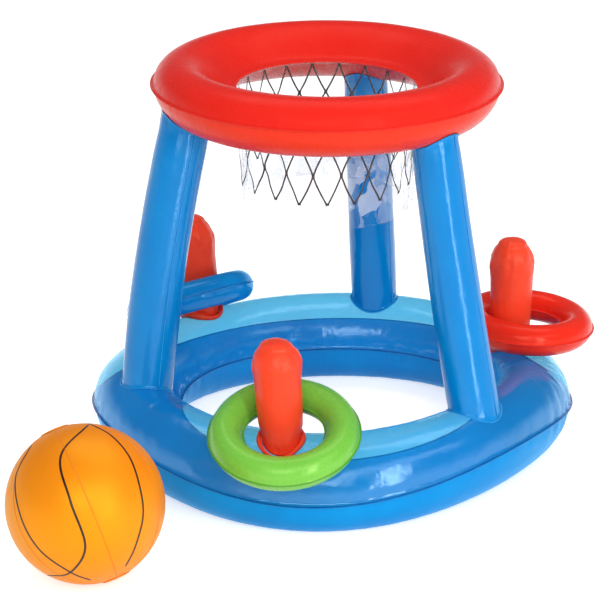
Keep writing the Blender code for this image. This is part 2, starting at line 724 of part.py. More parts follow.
def main():
    clear_scene()
    blue = film("blue_film", BASE_BLUE)
    pale = film("pale_blue_film", BASE_BLUE_LIGHT, alpha=0.6)
    red = film("red_film", HOOP_RED, roughness=0.3)
    clear = film("clear_film", NET_CLEAR, roughness=0.1, alpha=0.3)
    orange = film("orange_film", BALL_ORANGE)
    white = film("valve_vinyl", VALVE_CLEAR, roughness=0.35)

    base_upper, base_cutter = build_base(blue)
    hoop, hoop_cutter = build_hoop(red, clear)
    for name, leg in LEGS.items():
        build_leg(name, leg, blue, base_cutter, hoop_cutter)
        build_leg_flange(f"{name}_foot_flange", leg, pale)
    for name, post in POSTS.items():
        build_post(f"post_{name}", post, red, base_cutter)
        build_bead(f"post_{name}_bead", post, red)

    stem, plug = stem_mesh(), plug_mesh()
    turn = BASE_VALVE_TURN
    seat = on_tube(base_reach(turn), BASE_TUBE, turn, BASE_VALVE_ANGLE, BASE_MID, base_seam(turn))
    add_valve("base", None, *seat, stem, plug, white, base_cutter)
    seat = on_tube(HOOP_CREST, HOOP_TUBE, HOOP_VALVE_TURN, HOOP_VALVE_ANGLE, 0.0, HOOP_OUTER_RISE)
    add_valve("hoop", hoop, *seat, stem, plug, white, hoop_cutter)
    for name, toss in TOSS_RINGS.items():
        ring, cutter = build_toss_ring(name, toss, base_upper)
        seat = on_tube(RING_REACH, RING_TUBE, RING_VALVE_TURN, RING_VALVE_ANGLE)
        add_valve(name, ring, *seat, stem, plug, white, cutter)
    ball, cutter = build_ball(orange)
    outward = ball.matrix_world.to_3x3().inverted() @ Vector(BALL_VALVE_WAY)
    turn = round(atan2(outward.y, outward.x) / (tau / BALL_GORES)) * tau / BALL_GORES
    spot = Vector((*polar(turn, BALL_DIAMETER / 2), 0.0))
    add_valve("ball", ball, spot, spot, Vector((0, 0, 1)), stem, plug, white, cutter)
    centre_on_origin()


main()
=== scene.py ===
"""Looks of the floating basketball hoop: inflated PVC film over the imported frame. Metres, +Z up."""

from functools import partial
from math import atan2, cos, pi, radians, sin, sqrt, tan, tau

import bmesh
import bpy
import numpy as np
from mathutils import Euler, Matrix, Vector, noise


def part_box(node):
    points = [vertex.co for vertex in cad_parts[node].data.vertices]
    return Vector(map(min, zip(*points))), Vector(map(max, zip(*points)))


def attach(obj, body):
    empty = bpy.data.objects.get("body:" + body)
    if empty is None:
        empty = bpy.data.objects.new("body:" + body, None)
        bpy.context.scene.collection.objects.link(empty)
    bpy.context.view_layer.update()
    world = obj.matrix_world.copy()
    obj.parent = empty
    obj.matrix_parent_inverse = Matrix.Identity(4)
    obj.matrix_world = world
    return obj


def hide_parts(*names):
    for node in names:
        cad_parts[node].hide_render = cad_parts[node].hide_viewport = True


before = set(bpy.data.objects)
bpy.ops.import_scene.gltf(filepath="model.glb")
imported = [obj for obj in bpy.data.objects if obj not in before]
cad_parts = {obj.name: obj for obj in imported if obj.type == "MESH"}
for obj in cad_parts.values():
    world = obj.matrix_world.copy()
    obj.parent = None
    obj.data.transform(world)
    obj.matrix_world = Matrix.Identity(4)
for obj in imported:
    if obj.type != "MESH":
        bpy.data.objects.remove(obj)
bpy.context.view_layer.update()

# Sizes that repeat the part's source
BASE_RADIUS, BASE_HALF_WIDTH, BASE_HALF_HEIGHT, BASE_LIP = 0.305, 0.054, 0.057, 0.003
BASE_MIDDLE_HEIGHT, BASE_CREST = 0.0545, 0.1115
HOOP_HEIGHT, HOOP_LEAN, HOOP_SHIFT = 0.4613, radians(2.6), (-0.0083, 0.0048)
HOOP_CREST, HOOP_OUTER_RISE, HOOP_INNER_RISE = 0.1747, 0.0091, 0.0025
HOOP_FEET_HEIGHT = 0.4237
NET_RADIUS, NET_LENGTH, NET_REPEATS = 0.1095, 0.147, 20
FILM = 0.0003  # thickness of one film, and half of a weld's two
LEG_RADIUS = 0.0324
POST_RADIUS, POST_HEIGHT = 0.026, 0.137
RING_REACH = 0.0675
BALL_RADIUS = 0.0888


def middle_of(*nodes):
    """Middle of the box round several CAD nodes."""
    lows, highs = zip(*(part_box(node) for node in nodes))
    return Vector((np.min(lows, axis=0) + np.max(highs, axis=0)) / 2)


hoop_middle = middle_of("hoop_upper_sheet", "hoop_lower_sheet")
hoop_middle.y += HOOP_OUTER_RISE * sin(HOOP_LEAN)
BASE_X, BASE_Y = hoop_middle.x - HOOP_SHIFT[0], hoop_middle.y - HOOP_SHIFT[1]
BASE_PLACE = Matrix.Translation((BASE_X, BASE_Y, 0.0))
HOOP_PLACE = Matrix.Translation((hoop_middle.x, hoop_middle.y, HOOP_HEIGHT)) @ Matrix.Rotation(HOOP_LEAN, 4, "X")
GORES = [f"ball_gore_{k}" for k in range(1, 7)]
BALL_MIDDLE = middle_of(*GORES)

# Camera, where the photograph was taken from
CAMERA_PLACE = Vector((BASE_X - 0.04088, BASE_Y - 2.49616, 1.0492))
camera_data = bpy.data.cameras.new("camera")
camera_data.lens, camera_data.sensor_width = 126.0, 36.0
camera = bpy.data.objects.new("camera", camera_data)
camera.location = CAMERA_PLACE
camera.rotation_euler = (radians(90) - 0.33161, 0.0, 0.0)
bpy.context.collection.objects.link(camera)
bpy.context.scene.camera = camera


# Materials


def paint(hex_colour):
    """Linear colour of an sRGB hex value."""
    parts = [int(hex_colour[k:k + 2], 16) / 255 for k in (1, 3, 5)]
    return tuple(p / 12.92 if p <= 0.04045 else ((p + 0.055) / 1.055) ** 2.4 for p in parts) + (1.0,)


def add(tree, kind, links=None, operation=None, **settings):
    """Add a node with its settings; a kind without its family's name is a ShaderNode. Links gives each input
    a value, an output, or a node for its first output in use. A tuple of them fills the inputs in order,
    which for MapRange are the value, the range that it is read from and the range that it is turned to."""
    node = tree.nodes.new(kind if "Node" in kind else "ShaderNode" + kind)
    if operation:
        settings["operation"] = operation
    for key, value in settings.items():
        setattr(node, key, value)
    if isinstance(links, tuple):
        links = dict(enumerate(links))
    for key, value in (links or {}).items():
        if isinstance(value, bpy.types.Node):
            value = next(socket for socket in value.outputs if socket.enabled)
        if isinstance(value, bpy.types.NodeSocket):
            tree.links.new(value, node.inputs[key])
        else:
            node.inputs[key].default_value = value
    return node


def material(name):
    made = bpy.data.materials.new(name)
    made.use_nodes = True
    made.node_tree.nodes.clear()
    return made, partial(add, made.node_tree)


CLOUD_SIZE = 0.055  # how wide the film's thick and thin places are
SMUDGE_SIZE = 0.012
CRINKLE_SIZE = 0.016
CREASE_SIZE = 0.017  # sharp creases of the thin clear skirt
CRUMPLE_TOP = 0.41  # above it the hoop keeps the skirt taut
PEEL_SIZE = 0.0022  # faint orange peel of the calendered skin, really well under a millimetre: drawn coarser
CRINKLE_DEPTH, PEEL_DEPTH, PEEL_STRENGTH = 0.0012, 0.0003, 0.015
CREASE_DEPTH = 0.003
CLEAR_HAZE = (0.004, 0.30)  # share of light that a clear film stops, taut and at its milkiest facet
CLEAR_IOR = 1.33
INK_PATCH = 0.004  # how wide the print's thin places are


def glazed(new, body, ior, rough, normal, shine="#FFFFFF"):
    """Mirror-like outer face over see-through film; the inner face adds none."""
    gloss = new("BsdfGlossy", {"Color": paint(shine), "Roughness": rough, "Normal": normal})
    mirror = new("Fresnel", {"IOR": ior, "Normal": normal})
    inside = new("NewGeometry").outputs["Backfacing"]
    share = new("Math", (mirror, new("Math", (1.0, inside), "SUBTRACT")), "MULTIPLY")
    return new("MixShader", {0: share, 1: body, 2: gloss})


def film(name, colour, deep, rough=0.17, cover=1.0, tint=None, crinkle=0.35, ior=1.45, shine="#FFFFFF"):
    """Calendered PVC film, plasticised and blown tight: smooth, glossy, a little uneven in thickness,
    with faint crinkles. Where it is see-through, cover is the share of light that it stops. Shine tints
    the gloss, so that white surroundings mirrored in the film keep its colour deep."""
    made, new = material(name)
    at = new("TexCoord").outputs["Object"]
    cloud = new("TexNoise", {"Vector": at, "Scale": 1 / CLOUD_SIZE, "Detail": 3.0})
    share = new("MapRange", (cloud, 0.3, 0.7))
    mixed = new("Mix", {"Factor": share, "A": paint(deep), "B": paint(colour)}, data_type="RGBA")
    smudge = new("TexNoise", {"Vector": at, "Scale": 1 / SMUDGE_SIZE, "Detail": 4.0})
    gloss = new("MapRange", (smudge, 0.35, 0.7, rough - 0.03, rough + 0.06))
    crinkles = new("TexNoise", {"Vector": at, "Scale": 1 / CRINKLE_SIZE, "Detail": 5.0, "Roughness": 0.55,
                                "Distortion": 0.6})
    peel = new("TexNoise", {"Vector": at, "Scale": 1 / PEEL_SIZE, "Detail": 1.0})
    fine = new("Bump", {"Height": peel, "Strength": PEEL_STRENGTH, "Distance": PEEL_DEPTH})
    bump = new("Bump", {"Height": crinkles, "Strength": crinkle, "Distance": CRINKLE_DEPTH, "Normal": fine})
    surface = skin = new("BsdfPrincipled", {"Base Color": mixed, "Roughness": gloss, "Normal": bump, "IOR": ior,
                                            "Specular Tint": paint(shine)})
    if cover < 1.0:
        skin.inputs["Specular IOR Level"].default_value = 0.0
        through = new("BsdfTransparent", {"Color": paint(tint or colour)})
        body = new("MixShader", (cover, through, skin))
        surface = glazed(new, body, ior, gloss, bump, shine)
    new("OutputMaterial", {"Surface": surface})
    return made


def clear_film(name, colour, veil_colour, rough):
    """Unpigmented PVC film: what is behind shows through. Below the hoop it hangs crumpled, and each
    flat facet between two creases catches the light by itself."""
    made, new = material(name)
    at = new("TexCoord").outputs["Object"]
    wander = new("TexNoise", {"Vector": at, "Scale": 0.6 / CREASE_SIZE, "Detail": 2.0})
    bent = new("Mix", {"Factor": 0.03, "A": at, "B": wander.outputs["Color"]}, data_type="RGBA")
    long_ways = new("Mapping", {"Vector": bent, "Scale": (1.0, 1.0, 0.55), "Rotation": (0.5, 0.7, 0.0)})
    facets = new("TexVoronoi", {"Vector": long_ways, "Scale": 1 / CREASE_SIZE})
    bump = new("Bump", {"Height": facets, "Strength": 0.5, "Distance": CREASE_DEPTH})
    chance = new("SeparateColor", (facets.outputs["Color"],))
    height = new("SeparateXYZ", (at,)).outputs["Z"]
    hung = new("MapRange", (height, CRUMPLE_TOP, CRUMPLE_TOP - 0.04))
    caught = new("MapRange", (chance, 0.35, 1.0, CLEAR_HAZE[0], CLEAR_HAZE[1]))
    haze = new("Math", (caught, hung), "MULTIPLY")
    haze = new("Math", (haze, CLEAR_HAZE[0]), "MAXIMUM")
    through = new("BsdfTransparent", {"Color": paint(colour)})
    front, back = [new("Bsdf" + kind, {"Color": paint(veil_colour)}) for kind in ("Diffuse", "Translucent")]
    veil = new("MixShader", (0.5, front, back))
    milky = new("MixShader", (haze, through, veil))
    new("OutputMaterial", {"Surface": glazed(new, milky, CLEAR_IOR, rough, bump)})
    return made


def print_ink(name, colour, thin_colour):
    """Solvent ink printed on film: flat, satin, a touch thinner in places."""
    made, new = material(name)
    at = new("TexCoord").outputs["Object"]
    thin = new("TexNoise", {"Vector": at, "Scale": 1 / INK_PATCH, "Detail": 2.0})
    share = new("MapRange", (thin, 0.3, 0.75, 0.0, 0.25))
    mixed = new("Mix", {"Factor": share, "A": paint(colour), "B": paint(thin_colour)}, data_type="RGBA")
    skin = new("BsdfPrincipled", {"Base Color": mixed, "Roughness": 0.35})
    new("OutputMaterial", {"Surface": skin})
    return made


# The base's upper sheet is clear blue and its lower one nearly solid, so the white ground shows pale through the
# clear one. The other films are pigmented through. Welds are two films pressed into one, so the blue and green welds
# look darker than the film beside them. The leg welds' pale blue is a painted highlight, and the red welds are
# painted lighter to lift the shade in the crease at their lip. The hoop's lower sheet is the upper sheet's red
# painted lighter: painted light, for light bounced up from the floor.
base_upper_film = film("base_clear_blue_film", "#0CA0EC", "#0A96E4", rough=0.15, cover=0.38, tint="#B4F4FF", ior=1.75,
                       shine="#C4E8FF")
base_lower_film = film("base_deep_blue_film", "#009CE6", "#0092DE", rough=0.12, cover=0.88, tint="#60BEF4", ior=1.38,
                       shine="#A0DCFF")
blue_weld_film = film("blue_weld_film", "#0064B0", "#0058A2", rough=0.25, crinkle=0.1, ior=1.3)
leg_film = film("leg_blue_film", "#0086D0", "#007ECA", rough=0.17, ior=1.55, shine="#B8E2FF")
# Leg welds: painted lighter than the leg's film, a painted highlight along the weld lines
pale_weld_film = film("pale_weld_film", "#1C98E2", "#1890DA", rough=0.25, crinkle=0.1, ior=1.4)
hoop_upper_film = film("hoop_red_film", "#E62A20", "#E2261E", rough=0.28, crinkle=0.05, ior=1.28, shine="#FF8468")
# Hoop's lower sheet: the upper sheet's red, painted lighter as painted light bounced up from the floor
hoop_lower_painted_light_film = film("hoop_bright_red_film", "#EE3E2A", "#EA3A26", rough=0.28, crinkle=0.05, ior=1.28,
                       shine="#FF9078")
# Red welds: painted lighter to lift the shade in the crease at the weld's lip
red_weld_film = film("red_weld_film", "#EE3428", "#E83024", rough=0.3, crinkle=0.1, ior=1.2)
post_film = film("post_red_film", "#FA4A2C", "#F64428", rough=0.34, crinkle=0.25, ior=1.5, shine="#FFB49C")
green_film = film("green_ring_film", "#78C648", "#72C042", rough=0.26, crinkle=0.14, ior=1.62, shine="#E4FFB0")
green_weld_film = film("green_weld_film", "#5AA832", "#529E2C", rough=0.3, crinkle=0.1, ior=1.3)
red_ring_film = film("red_ring_film", "#F0301E", "#EA2C1C", rough=0.2, ior=1.5, shine="#FFA088")
blue_ring_film = film("blue_ring_film", "#0898E4", "#0690DC", rough=0.12, cover=0.74, tint="#6FC8F8", ior=1.6,
                      shine="#A8DCFF")
ball_film = film("ball_orange_film", "#F4840C", "#F2800A", rough=0.46, crinkle=0.05, ior=2.5, shine="#FFE040")
ball_weld_film = film("ball_weld_film", "#F08A1E", "#EC861C", rough=0.4, crinkle=0.1, ior=1.3)
net_clear_film = clear_film("net_clear_film", "#FDFEFF", "#F2F7FF", 0.06)
net_ink = print_ink("net_brown_ink", "#3A2E2B", "#6A5C56")
ball_ink = print_ink("ball_brown_ink", "#241008", "#3C1C0C")
valve_vinyl = film("valve_clear_vinyl", "#DCE7EE", "#CEDBE5", rough=0.25, cover=0.4, tint="#F0F6FA", crinkle=0.1)


# Making meshes


def solid(name, points, faces, materials):
    """Smooth object at the origin from points and faces."""
    mesh = bpy.data.meshes.new(name)
    mesh.from_pydata([tuple(p) for p in points], [], faces)
    for each in materials:
        mesh.materials.append(each)
    mesh.shade_smooth()
    mesh.update()
    made = bpy.data.objects.new(name, mesh)
    bpy.context.collection.objects.link(made)
    return made


def grid_faces(rows, columns, closed=True):
    """Quads of a grid of points whose rows are loops; closed joins the last row to the first."""
    faces = []
    for i in range(rows if closed else rows - 1):
        for j in range(columns):
            i2, j2 = (i + 1) % rows, (j + 1) % columns
            faces.append((i * columns + j, i2 * columns + j, i2 * columns + j2, i * columns + j2))
    return faces


def keep_attributes(made, **each):
    """Store numbers or vectors for the points, for a Geometry Nodes tree to read."""
    for name, values in each.items():
        values = np.asarray(values, dtype=np.float32)
        kind, field = ("FLOAT_VECTOR", "vector") if values.shape[-1] == 3 else ("FLOAT", "value")
        layer = made.data.attributes.new(name, kind, "POINT")
        layer.data.foreach_set(field, values.ravel())


def around(count):
    """Turns of so many points in a full circle."""
    return tau * np.arange(count) / count


def rays(turn):
    return np.stack([np.cos(turn), np.sin(turn)], axis=-1)


def outward(made):
    """Turn every face to point out of the closed skin."""
    bm = bmesh.new()
    bm.from_mesh(made.data)
    bmesh.ops.recalc_face_normals(bm, faces=bm.faces)
    bm.to_mesh(made.data)
    bm.free()
    return made


def moved(made, matrix):
    made.data.transform(matrix)
    made.data.update()
    return made


def carried(made, place, body, slot, *nodes, padded=False):
    """Put a piece in its place, on the body that carries it; nodes are the solids that it stands for."""
    moved(made, place)
    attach(made, body)
    if nodes:
        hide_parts(*nodes)
    return made


def new_tree(name, sizes):
    """Geometry Nodes tree with named inputs, each a number with its first value."""
    tree = bpy.data.node_groups.new(name, "GeometryNodeTree")
    socket = tree.interface.new_socket
    socket("Geometry", in_out="INPUT", socket_type="NodeSocketGeometry")
    for label, value in sizes.items():
        kind = "NodeSocketInt" if isinstance(value, int) else "NodeSocketFloat"
        socket(label, in_out="INPUT", socket_type=kind).default_value = value
    socket("Material", in_out="INPUT", socket_type="NodeSocketMaterial")
    socket("Geometry", in_out="OUTPUT", socket_type="NodeSocketGeometry")
    new = partial(add, tree)
    return tree, new, new("NodeGroupInput").outputs


def close_tree(new, shape, given):
    """Every tree ends in Realize Instances and Set Material."""
    real = new("GeometryNodeRealizeInstances", {"Geometry": shape})
    dressed = new("GeometryNodeSetMaterial", {"Geometry": real, "Material": given["Material"]})
    new("NodeGroupOutput", {"Geometry": dressed})


def worked(made, tree, **sizes):
    """Run a tree on a piece and keep the plain mesh that it makes."""
    change = made.modifiers.new("tree", "NODES")
    change.node_group = tree
    for item in tree.interface.items_tree:
        label = item.name.lower().replace(" ", "_")
        if item.in_out == "INPUT" and label in sizes:
            change[item.identifier] = sizes[label]
    made.update_tag()
    bpy.context.view_layer.update()
    seen = made.evaluated_get(bpy.context.evaluated_depsgraph_get())
    mesh = bpy.data.meshes.new_from_object(seen)
    made.modifiers.clear()
    made.data = mesh
    mesh.name = made.name
    return made


def pucker_tree():
    """Small pleats that run square to a weld and fade away from it, where flat film is drawn into a curve,
    with long streaks of drawn film and, where the film is slack, crumpled ridges."""
    tree, new, given = new_tree("weld_puckers", {"Depth": 0.001, "Reach": 0.02, "Spacing": 0.011,
                                                 "Streak": 0.0003, "Streak Width": 0.012, "Crumple": 0.0018,
                                                 "Crumple Size": 0.020, "Seed": 0.0})
    gap, slack, spot, drawn = [new("GeometryNodeInputNamedAttribute", {"Name": label}, data_type=kind)
                               for label, kind in (("weld_gap", "FLOAT"), ("slack", "FLOAT"),
                                                   ("pucker_at", "FLOAT_VECTOR"), ("streak_at", "FLOAT_VECTOR"))]
    close = new("MapRange", (gap, 0.0, given["Reach"], 1.0, 0.0), interpolation_type="SMOOTHSTEP")
    rise = new("MapRange", (gap, 0.0, 0.0022))
    near = new("Math", (close, rise), "MULTIPLY")

    # Pleats at the welds and streaks, both from noise: its level that stays flat, its size and its depth
    waves = []
    for where, size, detail, blend, flat, depth, fade in (
            (spot, "Spacing", 2.0, 0.45, 0.62, "Depth", near),
            (drawn, "Streak Width", 3.0, 0.6, 0.6, "Streak", rise)):
        scale = new("Math", (1.0, given[size]), "DIVIDE")
        wave = new("TexNoise", {"Vector": where, "W": given["Seed"], "Scale": scale, "Detail": detail,
                                "Roughness": blend}, noise_dimensions="4D")
        wave = new("Math", (wave, flat), "SUBTRACT")
        for factor in (given[depth], 4.0, fade):
            wave = new("Math", (wave, factor), "MULTIPLY")
        waves.append(wave)

    seed = new("Math", (given["Seed"], 7.0), "ADD")
    scale = new("Math", (1.0, given["Crumple Size"]), "DIVIDE")
    knobs = new("TexNoise", {"Vector": spot, "W": seed, "Scale": scale, "Detail": 3.0, "Distortion": 0.8},
                noise_dimensions="4D")
    ridge = new("Math", (knobs, 0.5), "SUBTRACT")
    ridge = new("Math", (ridge,), "ABSOLUTE")
    ridge = new("Math", (0.08, ridge), "SUBTRACT")
    height = new("Math", (given["Crumple"], 6.0), "MULTIPLY")
    loose = new("Math", (slack, rise), "MULTIPLY")
    for factor in (height, loose):
        ridge = new("Math", (ridge, factor), "MULTIPLY")

    lift = new("Math", (waves[1], ridge), "ADD")
    lift = new("Math", (waves[0], lift), "ADD")
    normal = new("GeometryNodeInputNormal")
    offset = new("VectorMath", {0: normal, "Scale": lift}, "SCALE")
    shape = new("GeometryNodeSetPosition", {"Geometry": given["Geometry"], "Offset": offset})
    close_tree(new, shape, given)
    return tree


WELD_PUCKERS = pucker_tree()


def strip(name, path, across, up, width, thick, stuff, closed=False, lift=0.0):
    """Thin rounded band along a path: a weld line, a folded edge or a printed line."""
    path, across, up = (np.asarray(v, dtype=float) for v in (path, across, up))
    width = np.broadcast_to(np.asarray(width, dtype=float), len(path))
    lens = ((-0.5, 0.0), (-0.3, 0.8), (0.0, 1.0), (0.3, 0.8), (0.5, 0.0), (0.3, -0.5), (-0.3, -0.5))
    points = [p + a * (x * w) + u * (lift + z * thick)
              for p, a, u, w in zip(path, across, up, width) for x, z in lens]
    count, ring = len(path), len(lens)
    faces = grid_faces(count, ring, closed)
    if not closed:
        faces += [tuple(range(ring)), tuple(range((count - 1) * ring, count * ring))]
    return outward(solid(name, points, faces, [stuff]))


# Inflated rings: two sheets of film welded along an outer and an inner edge

BASE_TUBE = dict(outer=BASE_HALF_WIDTH, inner=BASE_HALF_WIDTH, above=BASE_HALF_HEIGHT, below=BASE_HALF_HEIGHT,
                 points=(1.04, 1.04), powers=(1.5, 3.0), inner_rise=0.0, lip=BASE_LIP)
HOOP_TUBE = dict(outer=0.0365, inner=0.0614, above=0.0326, below=0.0376, points=(1.11, 3.2), powers=(1.0, 1.0),
                 inner_rise=HOOP_INNER_RISE, lip=0.0035, shoulder=(0.65, 0.80))
TOSS_TUBE = dict(outer=0.0195, inner=0.0195, above=0.020, below=0.020, points=(1.08, 1.08), powers=(1.0, 1.0),
                 inner_rise=0.0, lip=0.002)
UPPER, LOWER, WELD = 0, 1, 2
SLACK = np.array([(-6.0, 17.0, 1.0), (219.0, 9.0, 0.9), (150.0, 14.0, 0.5), (80.0, 34.0, 0.35), (290.0, 30.0, 0.25)])
# Above: turns in degrees at which the base's film is slack, how widely, and how much
DRAWN, POST_DRAWN = 7.0, 3.0  # streaks of drawn film are this many times longer than wide
FADE_ACROSS = 0.3  # puckers change this much slower away from their weld than along it


def tube_section(tube, side, angle, rise):
    """Across and up of a sheet's section, at angles from the outer weld."""
    across, height = np.cos(angle), np.abs(np.sin(angle))
    outside = across > 0
    width = np.where(outside, tube["outer"], tube["inner"])
    power = np.where(outside, tube["points"][0], tube["points"][1])
    swell = (tube["above"] if side > 0 else -tube["below"]) * height ** power
    if side > 0 and "shoulder" in tube:
        part, width_share = tube["shoulder"]
        x = np.clip(-across, 0, 1)
        shoulder = np.maximum(1 - (x / width_share) ** 2, 0.0) ** 1.1
        web = (1 - x ** 2) ** 3
        swell = np.where(outside, swell, tube["above"] * (part * shoulder + (1 - part) * web))
    follow = ((1 + across) / 2) ** tube["powers"][0 if side > 0 else 1]
    return width * across, swell + rise * follow + tube["inner_rise"] * (1 - across) / 2


def tube_film(name, tube, reach_at, rise_at, turns, steps, materials, floor=None, slack_share=0.0, **pleats):
    """Skin of an inflated ring, with its welds; reach_at and rise_at give its middle at each turn."""
    turn = around(turns)
    reaches, rises = reach_at(turn)[:, None], rise_at(turn)[:, None]
    loops, layers = [], []
    angle = np.linspace(0.0, pi, steps)[None, :]
    for side, sheet in ((1, UPPER), (-1, LOWER)):
        x, z = tube_section(tube, side, angle, rises)
        arc = np.stack([np.broadcast_to(x, z.shape), z + side * FILM], axis=-1)
        outer, inner = [np.stack([np.full(turns, out), rise + side * FILM], axis=-1)[:, None, :]
                        for out, rise in ((tube["outer"] + tube["lip"], rises[:, 0]),
                                          (-tube["inner"] - tube["lip"], np.full(turns, tube["inner_rise"])))]
        parts = np.concatenate([outer, arc, inner], axis=1)
        loops.append(parts if side > 0 else parts[:, ::-1])
        layers += [WELD] + [sheet] * (steps - 1) + [WELD] * 2
    loop = np.concatenate(loops, axis=1)
    across, up = loop[..., 0], loop[..., 1]
    if floor is not None:
        up = np.maximum(up, floor)
    count = loop.shape[1]
    radius = reaches + across
    east, north = np.cos(turn)[:, None], np.sin(turn)[:, None]
    points = np.stack([radius * east, radius * north, up], axis=-1)
    made = solid(name, points.reshape(-1, 3), grid_faces(turns, count), materials)

    # How far each point is from the nearest weld, along the film, and how slack the film is there
    step = np.linalg.norm(np.diff(loop, axis=1, append=loop[:, :1]), axis=-1)
    run = np.concatenate([np.zeros((turns, 1)), np.cumsum(step, axis=1)[:, :-1]], axis=1)
    gap = np.min([np.abs(run - run[:, w:w + 1]) for w in (1, steps, steps + 3, 2 * steps + 2)], axis=0)
    gap[:, [0, steps + 1, steps + 2, 2 * steps + 3]] = 0.0
    off = np.abs((turn[:, None] - np.radians(SLACK[:, 0]) + pi) % tau - pi) / np.radians(SLACK[:, 1])
    slack = (SLACK[:, 2] * np.exp(-off ** 2)).sum(axis=1) * slack_share
    middle = float(np.mean(reaches))
    x, y = [np.broadcast_to(middle * way, gap.shape) for way in (east, north)]
    keep_attributes(made, weld_gap=gap, slack=np.repeat(slack, count),
                    pucker_at=np.stack([x, y, gap * FADE_ACROSS], axis=-1),
                    streak_at=np.stack([x / DRAWN, y / DRAWN, run], axis=-1))
    worked(outward(made), WELD_PUCKERS, material=materials[0], **pleats)
    if floor is not None:
        spots = np.empty(len(made.data.vertices) * 3)
        made.data.vertices.foreach_get("co", spots)
        spots[2::3] = np.maximum(spots[2::3], floor)
        made.data.vertices.foreach_set("co", spots)
    made.data.materials.clear()
    for each in materials:
        made.data.materials.append(each)
    made.data.polygons.foreach_set("material_index", np.tile(np.array(layers, dtype=np.int32), turns))
    made.data.shade_smooth()
    made.data.update()
    return made


BASE_OVAL = ((0.025, 2, radians(41)), (0.014, 3, radians(24)))  # share of the radius, lobes, turn of a lobe
BASE_SEAM = (0.005, 0.015, 0.75)  # outer weld's rise, its wave, and how much calmer the wave is at the back


def base_reach(turn):
    out_of_round = sum(share * np.cos(lobes * (turn - at)) for share, lobes, at in BASE_OVAL)
    return BASE_RADIUS * (1 + out_of_round) - BASE_LIP - BASE_HALF_WIDTH


def base_rise(turn):
    rise, wave, calmer = BASE_SEAM
    calm = 1 - calmer * np.maximum(0.0, np.sin(turn))
    lobes, at = BASE_OVAL[1][1:]
    return calm * (rise - wave * np.cos(lobes * (turn - at)))


def base_top(x, y):
    """Height of the base ring's film over the floor, at a spot from the ring's middle."""
    turn = np.arctan2(y, x)
    across = np.clip((np.hypot(x, y) - base_reach(turn)) / BASE_HALF_WIDTH, -0.999, 0.999)
    swell = BASE_HALF_HEIGHT * (1 - across ** 2) ** (BASE_TUBE["points"][0] / 2)
    return BASE_MIDDLE_HEIGHT + swell + base_rise(turn) * ((1 + across) / 2) ** BASE_TUBE["powers"][0]


def base_normal(x, y):
    step = 0.002
    slope_x = (base_top(x + step, y) - base_top(x - step, y)) / (2 * step)
    slope_y = (base_top(x, y + step) - base_top(x, y - step)) / (2 * step)
    up = np.stack([-slope_x, -slope_y, np.ones_like(slope_x)], axis=-1)
    return up / np.linalg.norm(up, axis=-1, keepdims=True)


def laid_on_base(spot):
    """Points on the base's film over these spots, and the film's normals there."""
    x, y = spot[:, 0], spot[:, 1]
    return np.column_stack([spot, base_top(x, y)]), base_normal(x, y)


def on_base(turn, across):
    reach = float(base_reach(np.float64(turn))) + across * BASE_HALF_WIDTH
    return np.array([reach * cos(turn), reach * sin(turn)])


def hoop_under(x, y):
    """Height over the floor of the hoop's underside, at a spot from the base ring's middle."""
    x, y = x - HOOP_SHIFT[0], (y - HOOP_SHIFT[1]) / cos(HOOP_LEAN)
    off = np.hypot(x, y) - HOOP_CREST
    outside = off > 0
    across = np.clip(off / np.where(outside, HOOP_TUBE["outer"], HOOP_TUBE["inner"]), -0.999, 0.999)
    power = np.where(outside, HOOP_TUBE["points"][0], HOOP_TUBE["points"][1]) / 2
    down = -HOOP_TUBE["below"] * (1 - across ** 2) ** power
    local = down + HOOP_OUTER_RISE * (1 + across) / 2 + HOOP_INNER_RISE * (1 - across) / 2
    return HOOP_HEIGHT + local * cos(HOOP_LEAN) + y * sin(HOOP_LEAN)


base_ring = tube_film("base_ring_film", BASE_TUBE, base_reach, base_rise, 420, 40,
                      [base_upper_film, base_lower_film, blue_weld_film], floor=-BASE_MIDDLE_HEIGHT + 0.0002,
                      depth=0.0016, reach=0.030, spacing=0.016, slack_share=1.0,
                      streak=0.0006, streak_width=0.026, seed=1.0)
carried(base_ring, Matrix.Translation((BASE_X, BASE_Y, BASE_MIDDLE_HEIGHT)), "floating_base", "blue_film",
        "base_upper_sheet", "base_lower_sheet", padded=True)
# The hoop's lower sheet has a lighter red: painted light bounced up from the floor
hoop_ring = tube_film("hoop_ring_film", HOOP_TUBE, lambda t: np.full_like(t, HOOP_CREST),
                      lambda t: np.full_like(t, HOOP_OUTER_RISE), 360, 34,
                      [hoop_upper_film, hoop_lower_painted_light_film, red_weld_film], depth=0.0006, reach=0.018,
                      spacing=0.014, streak=0.0004, streak_width=0.020, seed=5.0)
carried(hoop_ring, HOOP_PLACE, "floating_base", "red_film", "hoop_upper_sheet", "hoop_lower_sheet", padded=True)


# Toss rings

TOSS = {
    "green": (radians(19.5), radians(263.8), green_film, green_film, green_weld_film),
    "red": (radians(3.2), radians(342.4), red_ring_film, red_ring_film, red_weld_film),
    "blue": (radians(24.5), radians(128.3), blue_ring_film, blue_ring_film, blue_weld_film),
}
for colour, (tilt, downhill, *films) in TOSS.items():
    node = f"toss_ring_{colour}"
    place = middle_of(f"{node}_upper", f"{node}_lower")
    lean = Matrix.Rotation(tilt, 4, Vector((-sin(downhill), cos(downhill), 0.0)))
    ring = tube_film(f"{node}_film", TOSS_TUBE, lambda t: np.full_like(t, RING_REACH), np.zeros_like, 240, 24,
                     films, depth=0.0006, reach=0.010, spacing=0.009, streak=0.0003, streak_width=0.009,
                     seed=9.0 + len(colour))
    carried(ring, Matrix.Translation(place) @ lean, node, f"{colour}_ring_film", f"{node}_upper", f"{node}_lower",
            padded=True)


# Legs


def shares_at(table, at):
    places, sizes = zip(*table)
    return np.interp(at, places, sizes)


